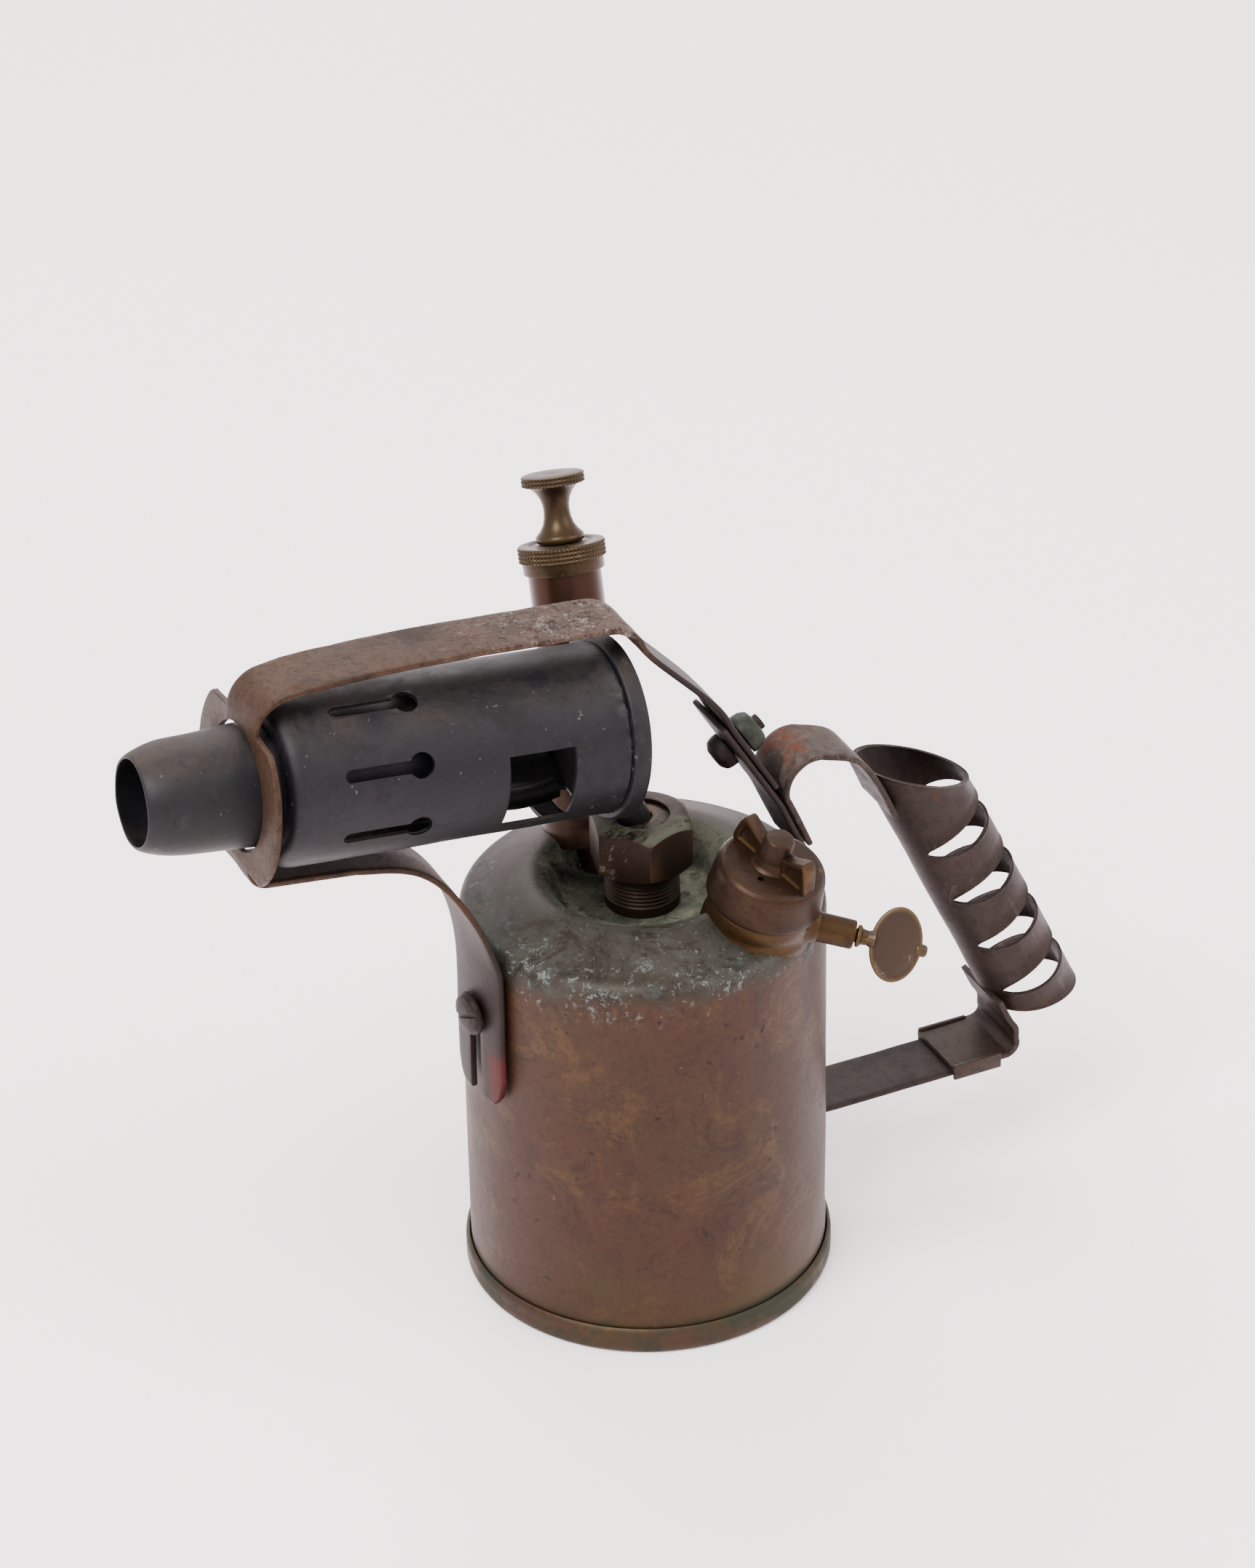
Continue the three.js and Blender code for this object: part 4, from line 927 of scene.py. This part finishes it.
# ---- filler ----
def make_filler():
    neck = [(8, 11.2), (8, -4.6), (14.3, -4.6), (14.35, 0), (14.2, 3.6), (13.7, 5), (13.5, 6.2),
            (13.7, 7.4), (13.8, 8.4), (13.8, 10.6), (13.3, 11.2), (8, 11.2)]
    neck = lathe("neck", rounded(neck, 0.5), filler, 120, 30)
    boss = [(2.1, 9), (3.95, 9), (3.9, 13), (3.8, 24.4), (3.5, 25), (2.1, 25), (2.1, 9)]
    boss = lathe("boss tube", rounded(boss, 0.25), release, 64)
    fillet = lathe("fillet", [(2.2, 11), (6.4, 11), (5.4, 13.2), (4.5, 14.4), (3.9, 15.6), (2.2, 15.6)],
                   release, 64)
    piece(joined("filler neck", neck, boss, fillet), NECK, "dark_brass", "filler_neck")
    washer = lathe("cap washer", [(8.2, 11.6), (11.6, 11.6), (11.6, 12.9), (8.2, 12.9), (8.2, 11.6)],
                   filler, 64)
    piece(washer, RUBBER, "black_rubber", "cap_washer", body="cap_seal")

    cap = [(0, 16.4), (5.6, 16.4), (5.6, 5), (7.2, 5), (7.2, 13.1), (12.1, 13.1), (12.1, 11.7),
           (14.7, 11.7), (15, 12.4), (14.95, 13.6), (14.7, 15.6), (14.45, 17.8), (14.25, 20), (13.9, 21.4),
           (13.1, 22.3), (12, 22.8), (9, 23.05), (0, 23.15)]
    body = lathe("cap body", rounded(cap, 0.35), filler, 120, 40)
    vent = prism("vent", circle(0.9, 20, 0, *VENT), 20.6, 26, filler)
    boolean(body, "DIFFERENCE", vent, angle=40)
    turn = Matrix.Rotation(math.radians(-40), 4, "Z")
    upright = Matrix(((1, 0, 0, 0), (0, 0, -1, 0), (0, 1, 0, 0), (0, 0, 0, 1)))
    wings = []
    for half in (0, math.pi):
        m = filler @ turn @ Matrix.Rotation(half, 4, "Z") @ upright
        outline = [(2, 22.3), (12.9, 22.3), (13.2, 23.6), (12.9, 25.6), (12, 29), (11.1, 30.7), (10.2, 31),
                   (9, 30.4), (5.4, 28.4), (2, 27.6)]
        wing = prism("wing", outline, -1.9, 1.9, m)
        for z0 in (-4.3, 1.0):
            pocket = [(5, 23.6), (11, 23.6), (11.1, 25.4), (10.2, 28.7), (9, 28.5), (5, 26.6)]
            boolean(wing, "DIFFERENCE", prism("pocket", pocket, z0, z0 + 3.3, m))
        finish_mesh(wing, 30, 0.55)
        wings.append(wing)
    cone = [(0, 22.3), (6, 22.9), (4.9, 23.6), (4.3, 25.2), (3.9, 30.9), (3.4, 31.5), (0, 31.6)]
    cone = lathe("cap cone", rounded(cone, 0.5), filler, 64)
    piece(joined("filler cap", body, cone, *wings), CAP, "dark_brass", "filler_cap", body="filler_cap")

    shaft = [(0, 11.5), (1.8, 14.5), (1.8, 25.4), (2.9, 25.6), (2.9, 26.3), (2.1, 27), (1.9, 28.4),
             (2.6, 30.2), (0, 31)]
    shaft = lathe("shaft", rounded(shaft, 0.2), release, 40)
    pip = lathe("pip", rounded([(0, 41), (1.7, 41), (1.6, 43.4), (1.1, 43.95), (0, 44)], 0.4), release, 32)
    lower = [(0, -1.0), (4, -1.05), (7.6, -1.25), (8.8, -1.45), (9.3, -1.2), (9.4, -0.4)]
    spade = lathe("spade", lower + [(x, -z) for x, z in reversed(lower)], HERE, 96, 60)
    # the lathe's axis is carried to the frame's Y, then the whole is turned about the screw
    shape = Matrix.Rotation(math.radians(-40), 4, "Z") @ Matrix.Translation((0, 0, 35.8))
    shape = shape @ Matrix(((1, 0, 0, 0), (0, 0, 1, 0), (0, -1, 0, 0), (0, 0, 0, 1)))
    squeeze = Matrix.Diagonal((9.75 / 9.4, 6.65 / 9.4, 0.78, 1))
    spade.data.transform(Matrix.Scale(MM, 4) @ release @ shape @ squeeze @ Matrix.Scale(1 / MM, 4))
    piece(joined("release screw", shaft, pip, spade), RELEASE, "dark_brass", "release_screw",
          body="release_screw")


make_tank()
make_boss()
make_burner()
make_guard()
make_handle()
make_pump()
make_filler()

# the inner pieces keep their CAD shapes
for node, material in {
    "fuel_pipe": JET, "fuel_wick": LEATHER, "valve_body": JET, "valve_disc": RUBBER, "valve_spring": BRIGHT,
    "piston_plate": JET, "cup_leather": LEATHER, "piston_nut": JET,
}.items():
    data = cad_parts[node].data
    data.materials.clear()
    data.materials.append(material)

# ---- setting, in metres ----
FLOOR_SIZE = 8
SKY, SKY_STRENGTH = (1, 0.895, 0.92, 1), 2.3
# name, place, power in watts, side of the square
LAMPS = (("key", (-0.9, -0.5, 1.7), 62, 0.9), ("fill", (1.3, -0.9, 1.2), 20, 1.1),
         ("back", (0.3, 1.5, 1.5), 30, 1.2))
LIT = Vector((0, 0, 0.1))
AZ, EL, ROLL, DIST = math.radians(-25), 0.5489, -0.0199, 1.2933
AIM_Z, AIM_LEFT = 0.1444, 0.00324
LENS, SENSOR = 116.9, 36

bpy.ops.mesh.primitive_plane_add(size=FLOOR_SIZE)
floor = bpy.context.object
floor.name = "floor"
floor.data.materials.append(floor_look())

world = bpy.data.worlds.new("studio")
bpy.context.scene.world = world
world.use_nodes = True
world.node_tree.nodes["Background"].inputs[0].default_value = SKY
world.node_tree.nodes["Background"].inputs[1].default_value = SKY_STRENGTH

for name, at, power, size in LAMPS:
    light = bpy.data.lights.new(name, "AREA")
    light.energy = power
    light.size = size
    lamp = bpy.data.objects.new(name, light)
    lamp.location = at
    lamp.rotation_euler = (LIT - Vector(at)).to_track_quat("-Z", "Y").to_euler()
    bpy.context.collection.objects.link(lamp)

# the camera, turned about its own axis by ROLL
back = Vector((math.sin(AZ) * math.cos(EL), -math.cos(AZ) * math.cos(EL), math.sin(EL)))
right = Vector((math.cos(AZ), math.sin(AZ), 0))
above = back.cross(right)
r = right * math.cos(ROLL) + above * math.sin(ROLL)
u = above * math.cos(ROLL) - right * math.sin(ROLL)
target = Vector((0, 0, AIM_Z)) - right * AIM_LEFT
cam = bpy.data.cameras.new("camera")
cam.lens = LENS
cam.sensor_width = SENSOR
cam.sensor_fit = "AUTO"
camera = bpy.data.objects.new("camera", cam)
p = target + back * DIST
axes = Matrix((r, u, back)).transposed()
camera.matrix_world = Matrix.Translation(p) @ axes.to_4x4()
bpy.context.collection.objects.link(camera)
bpy.context.scene.camera = camera
